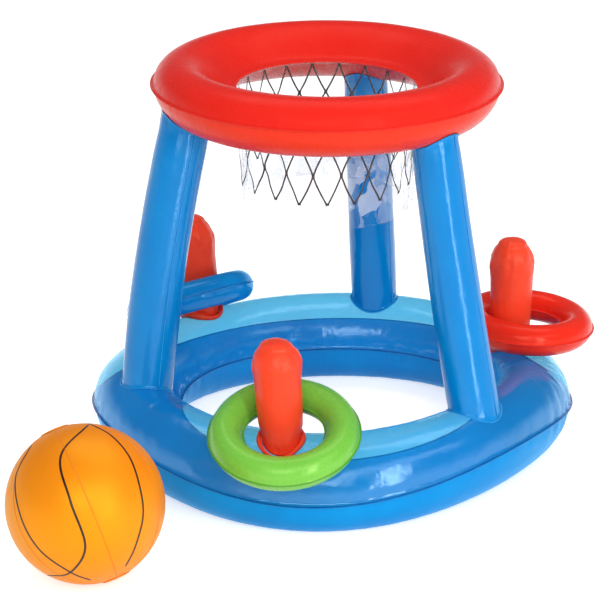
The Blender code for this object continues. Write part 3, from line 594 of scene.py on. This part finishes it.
LEGS = {
    "leg_left": (radians(202.4), -0.056, radians(196), 0.092, 1.0, 0.99, radians(-62)),
    "leg_right": (radians(313.4), 0.106, radians(314.8), -0.05, 0.99, 0.90, radians(-35)),
    "leg_back": (radians(75.5), -0.038, radians(72.6), 0.0, 0.98, 0.90, radians(-40)),
}  # foot turn, foot across, head turn, bow, girths, and where the side weld runs
LEG_FREE = (BASE_CREST, HOOP_FEET_HEIGHT)  # free height of a leg, over the floor
LEG_PROFILE = ((-0.2, 0.98), (0, 0.98), (0.25, 1.0), (0.9, 0.99), (1.0, 0.97))
LEG_HEAD_SHARE = 1.019  # how far out the legs meet the hoop, as a share of its crest
LEG_FLARE = 0.0012  # film turned out at each end's weld
RIM_GUESSES = (0.11, 0.43)  # heights at which the search for a leg's lower and upper rims starts
FOOT_WELD, SIDE_WELD = (0.0022, 0.0005), (0.0016, 0.0005)  # width and thickness of a weld line


def leg_share(height):
    return (height - LEG_FREE[0]) / (LEG_FREE[1] - LEG_FREE[0])


def leg_axis(leg, height):
    foot_turn, foot_across, head_turn, bow = leg[:4]
    share = leg_share(height)
    foot = on_base(foot_turn, foot_across)
    head = LEG_HEAD_SHARE * HOOP_CREST * np.array([cos(head_turn), sin(head_turn)]) + np.array(HOOP_SHIFT)
    swing = bow * 2 * LEG_RADIUS * np.sin(pi * np.clip(share, 0, 1))
    return (foot + share[..., None] * (head - foot)
            + swing[..., None] * np.array([cos(foot_turn), sin(foot_turn)]))


def leg_girth(leg, height):
    share = leg_share(height)
    girth = leg[4] + (leg[5] - leg[4]) * np.clip(share, 0, 1)
    return LEG_RADIUS * girth * shares_at(LEG_PROFILE, share)


def leg_spot(leg, height, turn, more=0.0):
    middle, girth = leg_axis(leg, height), leg_girth(leg, height) + more
    return middle + girth[..., None] * rays(turn)


def leg_rim(leg, turn, surface):
    """Height at which each side of the leg meets the base ring or the hoop."""
    height = np.full_like(turn, RIM_GUESSES[surface is hoop_under])
    for _ in range(12):
        spot = leg_spot(leg, height, turn)
        height = 0.5 * height + 0.5 * surface(spot[:, 0], spot[:, 1])
    return height


COLUMN_AROUND, LEG_ROWS, CAP_ROWS, BEAD_AROUND, BEAD_SIDES = 96, 90, 8, 120, 14


def capped(rim, surface, sign):
    """Close a tube's end with a disc of film that follows the surface it is welded on."""
    middle = rim.mean(axis=0)
    rows = []
    for k in range(1, CAP_ROWS):
        flat = middle + (rim - middle) * (1 - k / CAP_ROWS)
        flat[:, 2] = surface(flat[:, 0], flat[:, 1]) + sign * FILM
        rows.append(flat)
    centre = middle.copy()
    centre[2] = float(surface(middle[0], middle[1])) + sign * FILM
    return rows, centre


def column(name, rows, ends, materials):
    """Closed skin from rings of points and a pole at each end."""
    count = len(rows[0])
    points = np.concatenate([*rows, np.array(ends)])
    faces = grid_faces(len(rows), count, closed=False)
    first, last, top = len(rows) * count, len(rows) * count + 1, (len(rows) - 1) * count
    for j in range(count):
        faces.append((first, j, (j + 1) % count))
        faces.append((last, top + (j + 1) % count, top + j))
    return solid(name, points, faces, materials)


def blown_column(name, rows, gaps, poles, radius, drawn, stuff, slot, **pleats):
    """A leg or a post from its rings of points; gaps give each point's way to the nearest weld."""
    made = column(f"{name}_film", rows, poles, [stuff])
    gap = np.concatenate(gaps)
    angle = np.append(np.tile(around(COLUMN_AROUND), len(rows)), [0.0, 0.0])
    x, y = radius * np.cos(angle), radius * np.sin(angle)
    high = np.concatenate([row[:, 2] for row in rows] + [[0.0, 0.0]])
    keep_attributes(made, weld_gap=gap, pucker_at=np.column_stack([x, y, gap * FADE_ACROSS]),
                    streak_at=np.column_stack([x, y, high / drawn]))
    worked(outward(made), WELD_PUCKERS, material=stuff, **pleats)
    made.data.shade_smooth()
    carried(made, BASE_PLACE, "floating_base", slot, name, padded=True)


for name, leg in LEGS.items():
    turn = around(COLUMN_AROUND)
    low, high = leg_rim(leg, turn, base_top), leg_rim(leg, turn, hoop_under)
    rows, gaps = [], []
    for k in range(LEG_ROWS + 1):
        share = k / LEG_ROWS
        share = share + 0.10 * sin(tau * share) * -0.8  # rows lie closer at the welds
        height = low + (high - low) * share
        gap = np.minimum(height - low, high - height)
        spot = leg_spot(leg, height, turn, LEG_FLARE * np.exp(-gap / LEG_FLARE))
        rows.append(np.column_stack([spot, height]))
        gaps.append(gap)
    foot, foot_pole = capped(rows[0], base_top, 1)
    head, head_pole = capped(rows[-1], hoop_under, -1)
    rows, on_weld = foot[::-1] + rows + head, [np.zeros(COLUMN_AROUND)]
    gaps = on_weld * len(foot) + gaps + on_weld * len(head) + [[0.0, 0.0]]
    blown_column(name, rows, gaps, [foot_pole, head_pole], LEG_RADIUS, DRAWN, leg_film, "blue_film",
                 depth=0.0010, reach=0.026, spacing=0.010, streak=0.0004, streak_width=0.016, seed=20.0 + len(name))

    path, normal = laid_on_base(leg_spot(leg, low, turn, LEG_FLARE))
    away = np.column_stack([rays(turn), np.zeros_like(turn)])
    across = away - normal * np.sum(away * normal, axis=1, keepdims=True)
    across /= np.linalg.norm(across, axis=1, keepdims=True)
    # The foot weld's pale film is a painted highlight
    weld = strip(f"{name}_foot_weld", path, across, normal, *FOOT_WELD, pale_weld_film, closed=True, lift=0.0004)
    carried(weld, BASE_PLACE, "floating_base", "pale_blue_film", f"{name}_foot_flange")

    side, count = leg[6], 60
    foot_h, head_h = [np.interp(side % tau, np.append(turn, tau), np.append(rim, rim[0])) for rim in (low, high)]
    heights = np.linspace(foot_h + 0.001, head_h - 0.001, count)
    path = np.column_stack([leg_spot(leg, heights, np.full(count, side), 0.0001), heights])
    away = np.tile([cos(side), sin(side), 0.0], (count, 1))
    across = np.tile([-sin(side), cos(side), 0.0], (count, 1))
    # The side weld's pale film is a painted highlight
    weld = strip(f"{name}_side_weld", path, across, away, *SIDE_WELD, pale_weld_film)
    carried(weld, BASE_PLACE, "floating_base", "pale_blue_film")


# Target posts

POSTS = {
    "front": (radians(256.2), 0.134, 0.86, radians(3.2), radians(180), 3.0),
    "right": (radians(18.8), -0.22, 0.99, 0.0, 0.0, 11.0),
    "left": (radians(133.9), 0.110, 1.0, radians(6), radians(185), 17.0),
}  # foot turn, foot across, share of the full height, lean, where it leans, and the seed of its wrinkles
POST_FOOT = 0.88  # girth at the foot's weld, as a share of the post's
POST_PROFILE = ((-1.0, POST_FOOT), (0.0, POST_FOOT), (0.06, 0.93), (0.14, 1.00), (0.40, 1.05), (0.60, 1.06),
                (0.70, 1.10), (0.78, 1.11), (0.84, 1.05), (0.90, 0.90), (0.95, 0.66), (0.985, 0.38), (1.00, 0.10))
POST_ROWS = 84
DOME = 0.93  # share of the height above which the head closes like a ball
WRINKLES = ((1.5, 7.0, 0.055), (3.2, 2.5, 0.05), (5.0, 22.0, 0.022))  # how fine round and up, and how deep
SHAFT_PLEATS = 0.16  # share of the head's pleats that the shaft has too
BEAD_FAT, BEAD_TALL, BEAD_LIFT = (0.0033, 0.0005, 0.0003), 1.35, 1.25  # half width and its swells, height, lift


def smooth_profile(at):
    """Post's girth, eased so that the shoulder and dome are round."""
    spread = np.linspace(-0.035, 0.035, 9)
    return np.mean([shares_at(POST_PROFILE, np.clip(at + s, -1, 0.9995)) for s in spread], axis=0)


def wrinkle(turn, at, fine, tall, shift_x, shift_y):
    """Noise round a post's head, at each turn and share of the height."""
    return np.array([noise.noise(Vector((cos(t) * fine + shift_x, sin(t) * fine + shift_y, a * tall)))
                     for t, a in zip(turn, at)])


for name, (turn_at, across, tall_share, lean, lean_turn, seed) in POSTS.items():
    tall = POST_HEIGHT * tall_share
    foot = on_base(turn_at, across)
    tip = tan(lean) * np.array([cos(lean_turn), sin(lean_turn)])
    turn = around(COLUMN_AROUND)
    ray = rays(turn)
    low = np.zeros(COLUMN_AROUND)
    for _ in range(8):
        spot = foot + low[:, None] * tip + POST_RADIUS * POST_FOOT * ray
        low = base_top(spot[:, 0], spot[:, 1]) - BASE_CREST
    rows, gaps = [], []
    for k in range(POST_ROWS):
        share = 1 - (1 - k / (POST_ROWS - 1)) ** 1.25
        height = low * (1 - share) + tall * 0.999 * share
        at = height / tall
        dome = np.clip((at - DOME) / (1 - DOME), 0, 1)
        girth = smooth_profile(np.minimum(at, DOME)) * np.sqrt(np.maximum(1 - dome ** 2, 0))
        head = np.clip((at - 0.60) / 0.15, 0, 1)
        lumps, pleats, ruffles = [depth * wrinkle(turn, at, fine, tall_step, *shift)
                                  for (fine, tall_step, depth), shift in
                                  zip(WRINKLES, ((seed, 0.0), (0.0, seed), (0.0, -seed)))]
        girth = girth * (1 + head * (lumps + pleats + ruffles) + SHAFT_PLEATS * pleats)
        spot = foot + height[:, None] * tip + POST_RADIUS * girth[:, None] * ray
        rows.append(np.column_stack([spot, BASE_CREST + height]))
        gaps.append(height - low)
    cap, pole = capped(rows[0], base_top, 1)
    rows, gaps = cap[::-1] + rows, [np.zeros(COLUMN_AROUND)] * len(cap) + gaps + [[0.0, 0.1]]
    blown_column(f"post_{name}", rows, gaps, [pole, rows[-1].mean(axis=0)], POST_RADIUS, POST_DRAWN, post_film,
                 "red_film", depth=0.0012, reach=0.022, spacing=0.007, streak=0.0005, streak_width=0.012, seed=seed)

    # The foot's film is rolled under itself and welded: a soft tyre, fatter on some sides
    turn = around(BEAD_AROUND)
    ray = rays(turn)
    fat = BEAD_FAT[0] + BEAD_FAT[1] * np.cos(2 * turn + seed) + BEAD_FAT[2] * np.sin(5 * turn + seed)
    path, normal = laid_on_base(foot + (POST_RADIUS * POST_FOOT + fat)[:, None] * ray)
    path = path + normal * fat[:, None] * BEAD_LIFT
    away = np.column_stack([ray, np.zeros(BEAD_AROUND)])
    points = [p + away[i] * (f * cos(s)) + normal[i] * (BEAD_TALL * f * sin(s))
              for i, (p, f) in enumerate(zip(path, fat)) for s in around(BEAD_SIDES)]
    bead = outward(solid(f"post_{name}_rolled_weld", points, grid_faces(BEAD_AROUND, BEAD_SIDES), [post_film]))
    carried(bead, BASE_PLACE, "floating_base", "red_film", f"post_{name}_bead")


# Net skirt: clear film and the net printed on it, laid out flat for one mesh and rolled by one tree


def skirt_tree():
    """Repeat a flat piece round the hoop, roll it into the skirt and give it the folds of hanging film."""
    tree, new, given = new_tree("rolled_skirt", {"Repeats": 20, "Pitch": 0.0344, "Radius": 0.1095, "Length": 0.147,
                                                 "Fold": 0.003, "Crinkle": 0.0012, "Crinkle Size": 0.02,
                                                 "Lean": 0.045, "Top": 0.003, "Sag": 0.0, "Seed": 0.0})
    step = new("CombineXYZ", {"X": given["Pitch"]})
    line = new("GeometryNodeMeshLine", {"Count": given["Repeats"], "Offset": step})
    copies = new("GeometryNodeInstanceOnPoints", {"Points": line, "Instance": given["Geometry"]})
    flat = new("GeometryNodeRealizeInstances", {"Geometry": copies})
    place = new("SeparateXYZ", (new("GeometryNodeInputPosition"),)).outputs
    turn = new("Math", (place["X"], given["Radius"]), "DIVIDE")
    side, ahead = [new("Math", (turn,), way) for way in ("COSINE", "SINE")]

    # The film's lower parts hang a little lower towards the back, and in folds
    back = new("Math", (1.0, ahead), "SUBTRACT")
    half = new("Math", (given["Sag"], 0.5), "MULTIPLY")
    sag = new("Math", (back, half), "MULTIPLY")
    fall = new("Math", (place["Y"], sag), "SUBTRACT")
    down = new("Math", (fall, -1.0), "MULTIPLY")
    down = new("Math", (down, given["Length"]), "DIVIDE")
    folds = []
    for count, shift, share in SKIRT_FOLDS:
        wave = new("Math", (turn, count, shift), "MULTIPLY_ADD")
        wave = new("Math", (wave,), "COSINE")
        folds.append(new("Math", (wave, share), "MULTIPLY"))
    fold = new("Math", tuple(folds), "ADD")
    fold = new("Math", (fold, 1.0), "SUBTRACT")
    for factor in (given["Fold"], down):
        fold = new("Math", (fold, factor), "MULTIPLY")

    # Crumples of soft film, none at the hoop's weld
    x, y = [new("Math", (way, given["Radius"]), "MULTIPLY") for way in (side, ahead)]
    where = new("CombineXYZ", (x, y, fall))
    size = new("Math", (1.0, given["Crinkle Size"]), "DIVIDE")
    wide = new("Math", (size, 0.6), "MULTIPLY")
    waves = new("TexVoronoi", {"Vector": where, "W": given["Seed"], "Scale": size},
                voronoi_dimensions="4D", feature="F1")
    slow = new("TexNoise", {"Vector": where, "W": given["Seed"], "Scale": wide, "Detail": 1.0},
               noise_dimensions="4D")
    loose = new("MapRange", (down, 0.0, 0.2))
    crumple = new("Math", (waves, slow), "ADD")
    crumple = new("Math", (crumple, 1.3), "SUBTRACT")
    for factor in (given["Crinkle"], loose):
        crumple = new("Math", (crumple, factor), "MULTIPLY")

    reach = new("Math", (given["Radius"], fold), "ADD")
    lift = new("Math", (crumple, place["Z"]), "ADD")
    out = new("Math", (reach, lift), "ADD")
    hang = new("Math", (fall, given["Lean"]), "MULTIPLY")
    x = new("Math", (side, out), "MULTIPLY")
    y = new("Math", (ahead, out, hang), "MULTIPLY_ADD")
    z = new("Math", (fall, given["Top"]), "ADD")
    rolled = new("CombineXYZ", (x, y, z))
    shape = new("GeometryNodeSetPosition", {"Geometry": flat, "Position": rolled})
    joined = new("GeometryNodeMergeByDistance", {"Geometry": shape, "Distance": 0.00002})
    close_tree(new, joined, given)
    return tree


SKIRT_FOLDS = ((7.0, 0.0, 0.6), (11.0, 1.0, 0.4))  # folds round the skirt, where they start, and their share
ROLLED_SKIRT = skirt_tree()
SKIRT_RADIUS = NET_RADIUS - 0.0004
PITCH = tau * SKIRT_RADIUS / NET_REPEATS
SKIRT = dict(repeats=NET_REPEATS, pitch=PITCH, radius=SKIRT_RADIUS, length=NET_LENGTH, fold=0.003, crinkle=0.0046,
             crinkle_size=0.022, lean=tan(HOOP_LEAN), top=HOOP_INNER_RISE + 0.0008, seed=2.0)
NET_CELL = 0.0365  # height of half a mesh of the net
STRAND, KNOT, KNOT_LENGTH = 0.0022, 0.0016, 0.0028  # a strand's width, what a knot adds to it, and how far
STRAND_BEND, INK_THICK = 0.0012, (0.00016, 0.00022)  # sideways bend of a strand; ink of the lower and upper one
NET_SHIFT = 0.496  # turns the pattern so that its knots fall where the photograph has them


def flat_film():
    """One repeat of the skirt's film, a thin slab in two faces with its thickness at the free edges."""
    across, down = 14, 56
    points, faces = [], []
    for z in (0.0, -FILM):
        for j in range(down + 1):
            points += [(PITCH * i / across, -NET_LENGTH * j / down, z) for i in range(across + 1)]
    wide, layer = across + 1, (across + 1) * (down + 1)
    for j in range(down):
        for i in range(across):
            a = j * wide + i
            faces.append((a, a + wide, a + wide + 1, a + 1))
            faces.append((layer + a, layer + a + 1, layer + a + wide + 1, layer + a + wide))
    for i in range(across):
        for a, flip in ((i, True), (down * wide + i, False)):
            quad = (a, a + 1, layer + a + 1, layer + a)
            faces.append(quad[::-1] if flip else quad)
    return solid("net_film", points, faces, [net_clear_film])


def flat_print():
    """One repeat of the printed net: two strands that cross, with a knot at each meeting."""
    points, faces = [], []

    def band(path, widths, height):
        start = len(points)
        for k, ((x, y), w) in enumerate(zip(path, widths)):
            x1, y1 = path[max(k - 1, 0)]
            x2, y2 = path[min(k + 1, len(path) - 1)]
            length = sqrt((x2 - x1) ** 2 + (y2 - y1) ** 2)
            nx, ny = -(y2 - y1) / length, (x2 - x1) / length
            for side, z in ((-1, 0.00002), (-1, height), (1, height), (1, 0.00002)):
                points.append((x + side * nx * w / 2, y + side * ny * w / 2, z))
        for k in range(len(path) - 1):
            for j in range(4):
                a, b = start + 4 * k + j, start + 4 * k + (j + 1) % 4
                faces.append((a, b, b + 4, a + 4))
        faces.append(tuple(start + j for j in range(4)))
        last = start + 4 * (len(path) - 1)
        faces.append(tuple(last + 3 - j for j in range(4)))

    steps = 36
    for way, thick in zip((1, -1), INK_THICK):
        path, widths = [], []
        for k in range(steps + 1):
            level = 3 * k / steps
            bend = STRAND_BEND * sin(pi * (level % 1.0)) * (1 if int(level) % 2 else -1)
            path.append((way * (PITCH * level / 2 + bend) + NET_SHIFT * PITCH, -0.002 - NET_CELL * level))
            knot = min(abs(level - round(level)) * NET_CELL / KNOT_LENGTH, 1.0)
            widths.append(STRAND + KNOT * (1 - knot) ** 1.5)
        band(path, widths, thick)
    return solid("net_print", points, faces, [net_ink])


net_film = outward(worked(flat_film(), ROLLED_SKIRT, material=net_clear_film, **SKIRT))
net_print = outward(worked(flat_print(), ROLLED_SKIRT, material=net_ink, sag=0.0055, **SKIRT))
for piece, nodes in ((net_film, ["net_skirt"]), (net_print, [])):
    piece.data.shade_smooth()
    carried(piece, HOOP_PLACE, "floating_base", "clear_film", *nodes)


# Ball: six gores welded edge to edge, drawn here as one tight skin with its welds and printed lines

GORE_BULGE, PATCH_RADIUS = 0.0007, 0.016
BALL_WELD, BALL_LINE = (0.0014, 0.0003), (0.0024, 0.00025)  # width and thickness
BALL_TURN = Euler((radians(29.2), radians(-12.6), radians(-109.8))).to_matrix()


def ball_radius(way):
    """The gores bulge a little between their welds."""
    turn = atan2(way.y, way.x)
    return BALL_RADIUS - 0.0005 - GORE_BULGE * (1 - abs(sin(3 * turn))) * sqrt(max(0.0, 1 - way.z ** 2))


def direction(rise, turn):
    return Vector((cos(rise) * cos(turn), cos(rise) * sin(turn), sin(rise)))


BALL_AROUND, BALL_ROWS = 144, 72
rows = []
for k in range(1, BALL_ROWS):
    rise = -pi / 2 + pi * k / BALL_ROWS
    ways = [direction(rise, tau * j / BALL_AROUND) for j in range(BALL_AROUND)]
    rows.append(np.array([BALL_TURN @ (way * ball_radius(way)) for way in ways]))
ends = [np.array(BALL_TURN @ Vector((0, 0, s * (BALL_RADIUS - 0.0006)))) for s in (-1, 1)]
ball = outward(column("ball_film", rows, ends, [ball_film]))
carried(ball, Matrix.Translation(BALL_MIDDLE), "ball", "orange_film", *GORES, padded=True)


def ball_band(name, ways, width, thick, stuff, lift=0.0001):
    """A weld or a printed line that lies on the ball along a run of directions."""
    path, across, up = [], [], []
    for k, way in enumerate(ways):
        before, after = ways[max(k - 1, 0)], ways[min(k + 1, len(ways) - 1)]
        path.append(BALL_MIDDLE + way * ball_radius(BALL_TURN.inverted() @ way))
        across.append(way.cross(after - before).normalized())
        up.append(way)
    carried(strip(name, path, across, up, width, thick, stuff, lift=lift), Matrix(), "ball", "orange_film")


for k in range(6):
    turn = tau * (k + 0.5) / 6
    ways = [BALL_TURN @ direction(rise, turn) for rise in np.linspace(radians(-80), radians(80), 60)]
    ball_band(f"ball_weld_{k + 1}", ways, *BALL_WELD, ball_weld_film)


def patch(name, side):
    """Round disc of film welded over a pole of the ball."""
    rings = []
    edge = PATCH_RADIUS / BALL_RADIUS
    outline = [(edge * r, BALL_RADIUS + 0.0001 + h) for r, h in
               ((0.25, 0.0004), (0.5, 0.0004), (0.75, 0.0004), (0.93, 0.0004), (1.0, 0.0002), (1.0, -0.0004),
                (0.75, -0.0006), (0.5, -0.0006), (0.25, -0.0006))]
    for angle, radius in outline:
        rings.append(np.array([BALL_TURN @ Vector((radius * sin(angle) * cos(t), radius * sin(angle) * sin(t),
                                                   side * radius * cos(angle)))
                               for t in around(48)]))
    poles = [np.array(BALL_TURN @ Vector((0, 0, side * (BALL_RADIUS + h)))) for h in (0.0005, -0.0005)]
    made = outward(column(name, rings, poles, [ball_film]))
    carried(made, Matrix.Translation(BALL_MIDDLE), "ball", "orange_film", name)


for name, side in (("ball_patch_top", 1), ("ball_patch_bottom", -1)):
    patch(name, side)

# Printed lines, as spots on the ball's face: share of its radius right and up of its middle
BALL_LINES = {
    "ball_line_curve": ((0.04, 0.985), (-0.30, 0.57), (-0.18, 0.04), (0.005, -0.51), (-0.17, -0.83), (-0.45, -0.885)),
    "ball_line_left": ((-0.67, 0.71), (-0.85, 0.31), (-0.77, -0.17), (-0.54, -0.56), (-0.17, -0.83), (0.07, -0.93)),
    "ball_line_right": ((0.04, 0.985), (0.31, 0.83), (0.54, 0.55), (0.67, 0.15), (0.70, -0.17), (0.61, -0.53),
                        (0.50, -0.76)),
}
toward = (CAMERA_PLACE - BALL_MIDDLE).normalized()
sideways = Vector((1, 0, 0))
sideways = (sideways - toward * sideways.dot(toward)).normalized()
upward = toward.cross(sideways)


def spline(spots, count):
    """Smooth run through a few spots."""
    spots = np.array(spots)
    ends = np.vstack([2 * spots[0] - spots[1], spots, 2 * spots[-1] - spots[-2]])
    made = []
    for k in range(len(spots) - 1):
        p0, p1, p2, p3 = ends[k:k + 4]
        for t in np.linspace(0, 1, count, endpoint=k == len(spots) - 2):
            made.append(0.5 * (2 * p1 + (p2 - p0) * t + (2 * p0 - 5 * p1 + 4 * p2 - p3) * t ** 2
                               + (3 * p1 - p0 - 3 * p2 + p3) * t ** 3))
    return made


for name, spots in BALL_LINES.items():
    for half, flip in (("front", 1), ("rear", -1)):
        ways = []
        for x, y in spline(spots, 14):
            depth = sqrt(max(0.0, 1 - x * x - y * y))
            ways.append((sideways * (x * flip) + upward * y + toward * (depth * flip)).normalized())
        ball_band(f"{name}_{half}", ways, *BALL_LINE, ball_ink, lift=0.0002)


# Valves stay as the frame's own moulded pieces
for name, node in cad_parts.items():
    if name.endswith(("_valve_stem", "_valve_plug")):
        for spot in node.material_slots:
            spot.material = valve_vinyl


# Stage and light

FLOOR_WHITE, FLOOR_GLOW = 0.86, 0.62
SWEEP_LIGHT, CEILING_LIGHT, CEILING_SHINE = 1.0, 0.55, 0.14


def stage_floor():
    """Matt floor that the shadow falls on; what the camera and mirrors see of it is lit up to white."""
    floor = solid("floor", [(-8, -8, 0), (8, -8, 0), (8, 8, 0), (-8, 8, 0)], [(0, 1, 2, 3)], [])
    made, new = material("white_floor")
    seen = new("LightPath").outputs
    flag = new("Math", (seen["Is Camera Ray"], seen["Is Glossy Ray"]), "MAXIMUM")
    flag = new("Math", (flag, seen["Is Transmission Ray"]), "MAXIMUM")
    body = new("BsdfDiffuse", {"Color": (FLOOR_WHITE, FLOOR_WHITE, FLOOR_WHITE, 1)})
    glow = new("Emission", {"Strength": new("Math", (flag, FLOOR_GLOW), "MULTIPLY")})
    new("OutputMaterial", {"Surface": new("AddShader", (body, glow))})
    floor.data.materials.append(made)


def stage_world():
    """Pale sweep round the horizon under a dimmer ceiling, which is darker still where film mirrors it,
    so that the tops show little haze. The camera sees plain white."""
    world = bpy.data.worlds.new("studio")
    bpy.context.scene.world = world
    world.use_nodes = True
    world.node_tree.nodes.clear()
    new = partial(add, world.node_tree)
    seen = new("LightPath").outputs
    way = new("TexCoord").outputs["Generated"]
    rise = new("SeparateXYZ", (way,)).outputs["Z"]
    lit, mirrored = [new("MapRange", (rise, 0.02, 0.30, low, high), interpolation_type="SMOOTHSTEP")
                     for low, high in ((SWEEP_LIGHT, CEILING_LIGHT), (1.0, CEILING_SHINE))]
    strength = new("Mix", {"Factor": seen["Is Glossy Ray"], "A": lit, "B": mirrored})
    plain = new("Math", (seen["Is Camera Ray"], seen["Is Transmission Ray"]), "MAXIMUM")
    strength = new("Mix", {"Factor": plain, "A": strength, "B": 1.0})
    back = new("Background", {"Color": (1, 1, 1, 1), "Strength": strength})
    new("OutputWorld", {"Surface": back})


AIM = Vector((0.0, 0.05, 0.25))


def softbox(name, place, size, power):
    lamp = bpy.data.lights.new(name, "AREA")
    lamp.shape, lamp.size, lamp.size_y, lamp.energy = "RECTANGLE", size[0], size[1], power
    made = bpy.data.objects.new(name, lamp)
    made.location = place
    made.rotation_euler = (AIM - Vector(place)).to_track_quat("-Z", "Y").to_euler()
    bpy.context.collection.objects.link(made)


stage_floor()
stage_world()
softbox("softbox_strip", (1.2, -2.0, 0.85), (0.4, 1.5), 17.0)
softbox("softbox_bank", (1.32, -1.88, 2.18), (3.0, 0.7), 11.0)
softbox("softbox_near", (-0.25, -2.4, 1.35), (1.4, 1.0), 17.0)
softbox("softbox_top", (0.1, 0.5, 2.3), (2.2, 1.0), 12.0)

bpy.context.scene.view_settings.view_transform = "Standard"
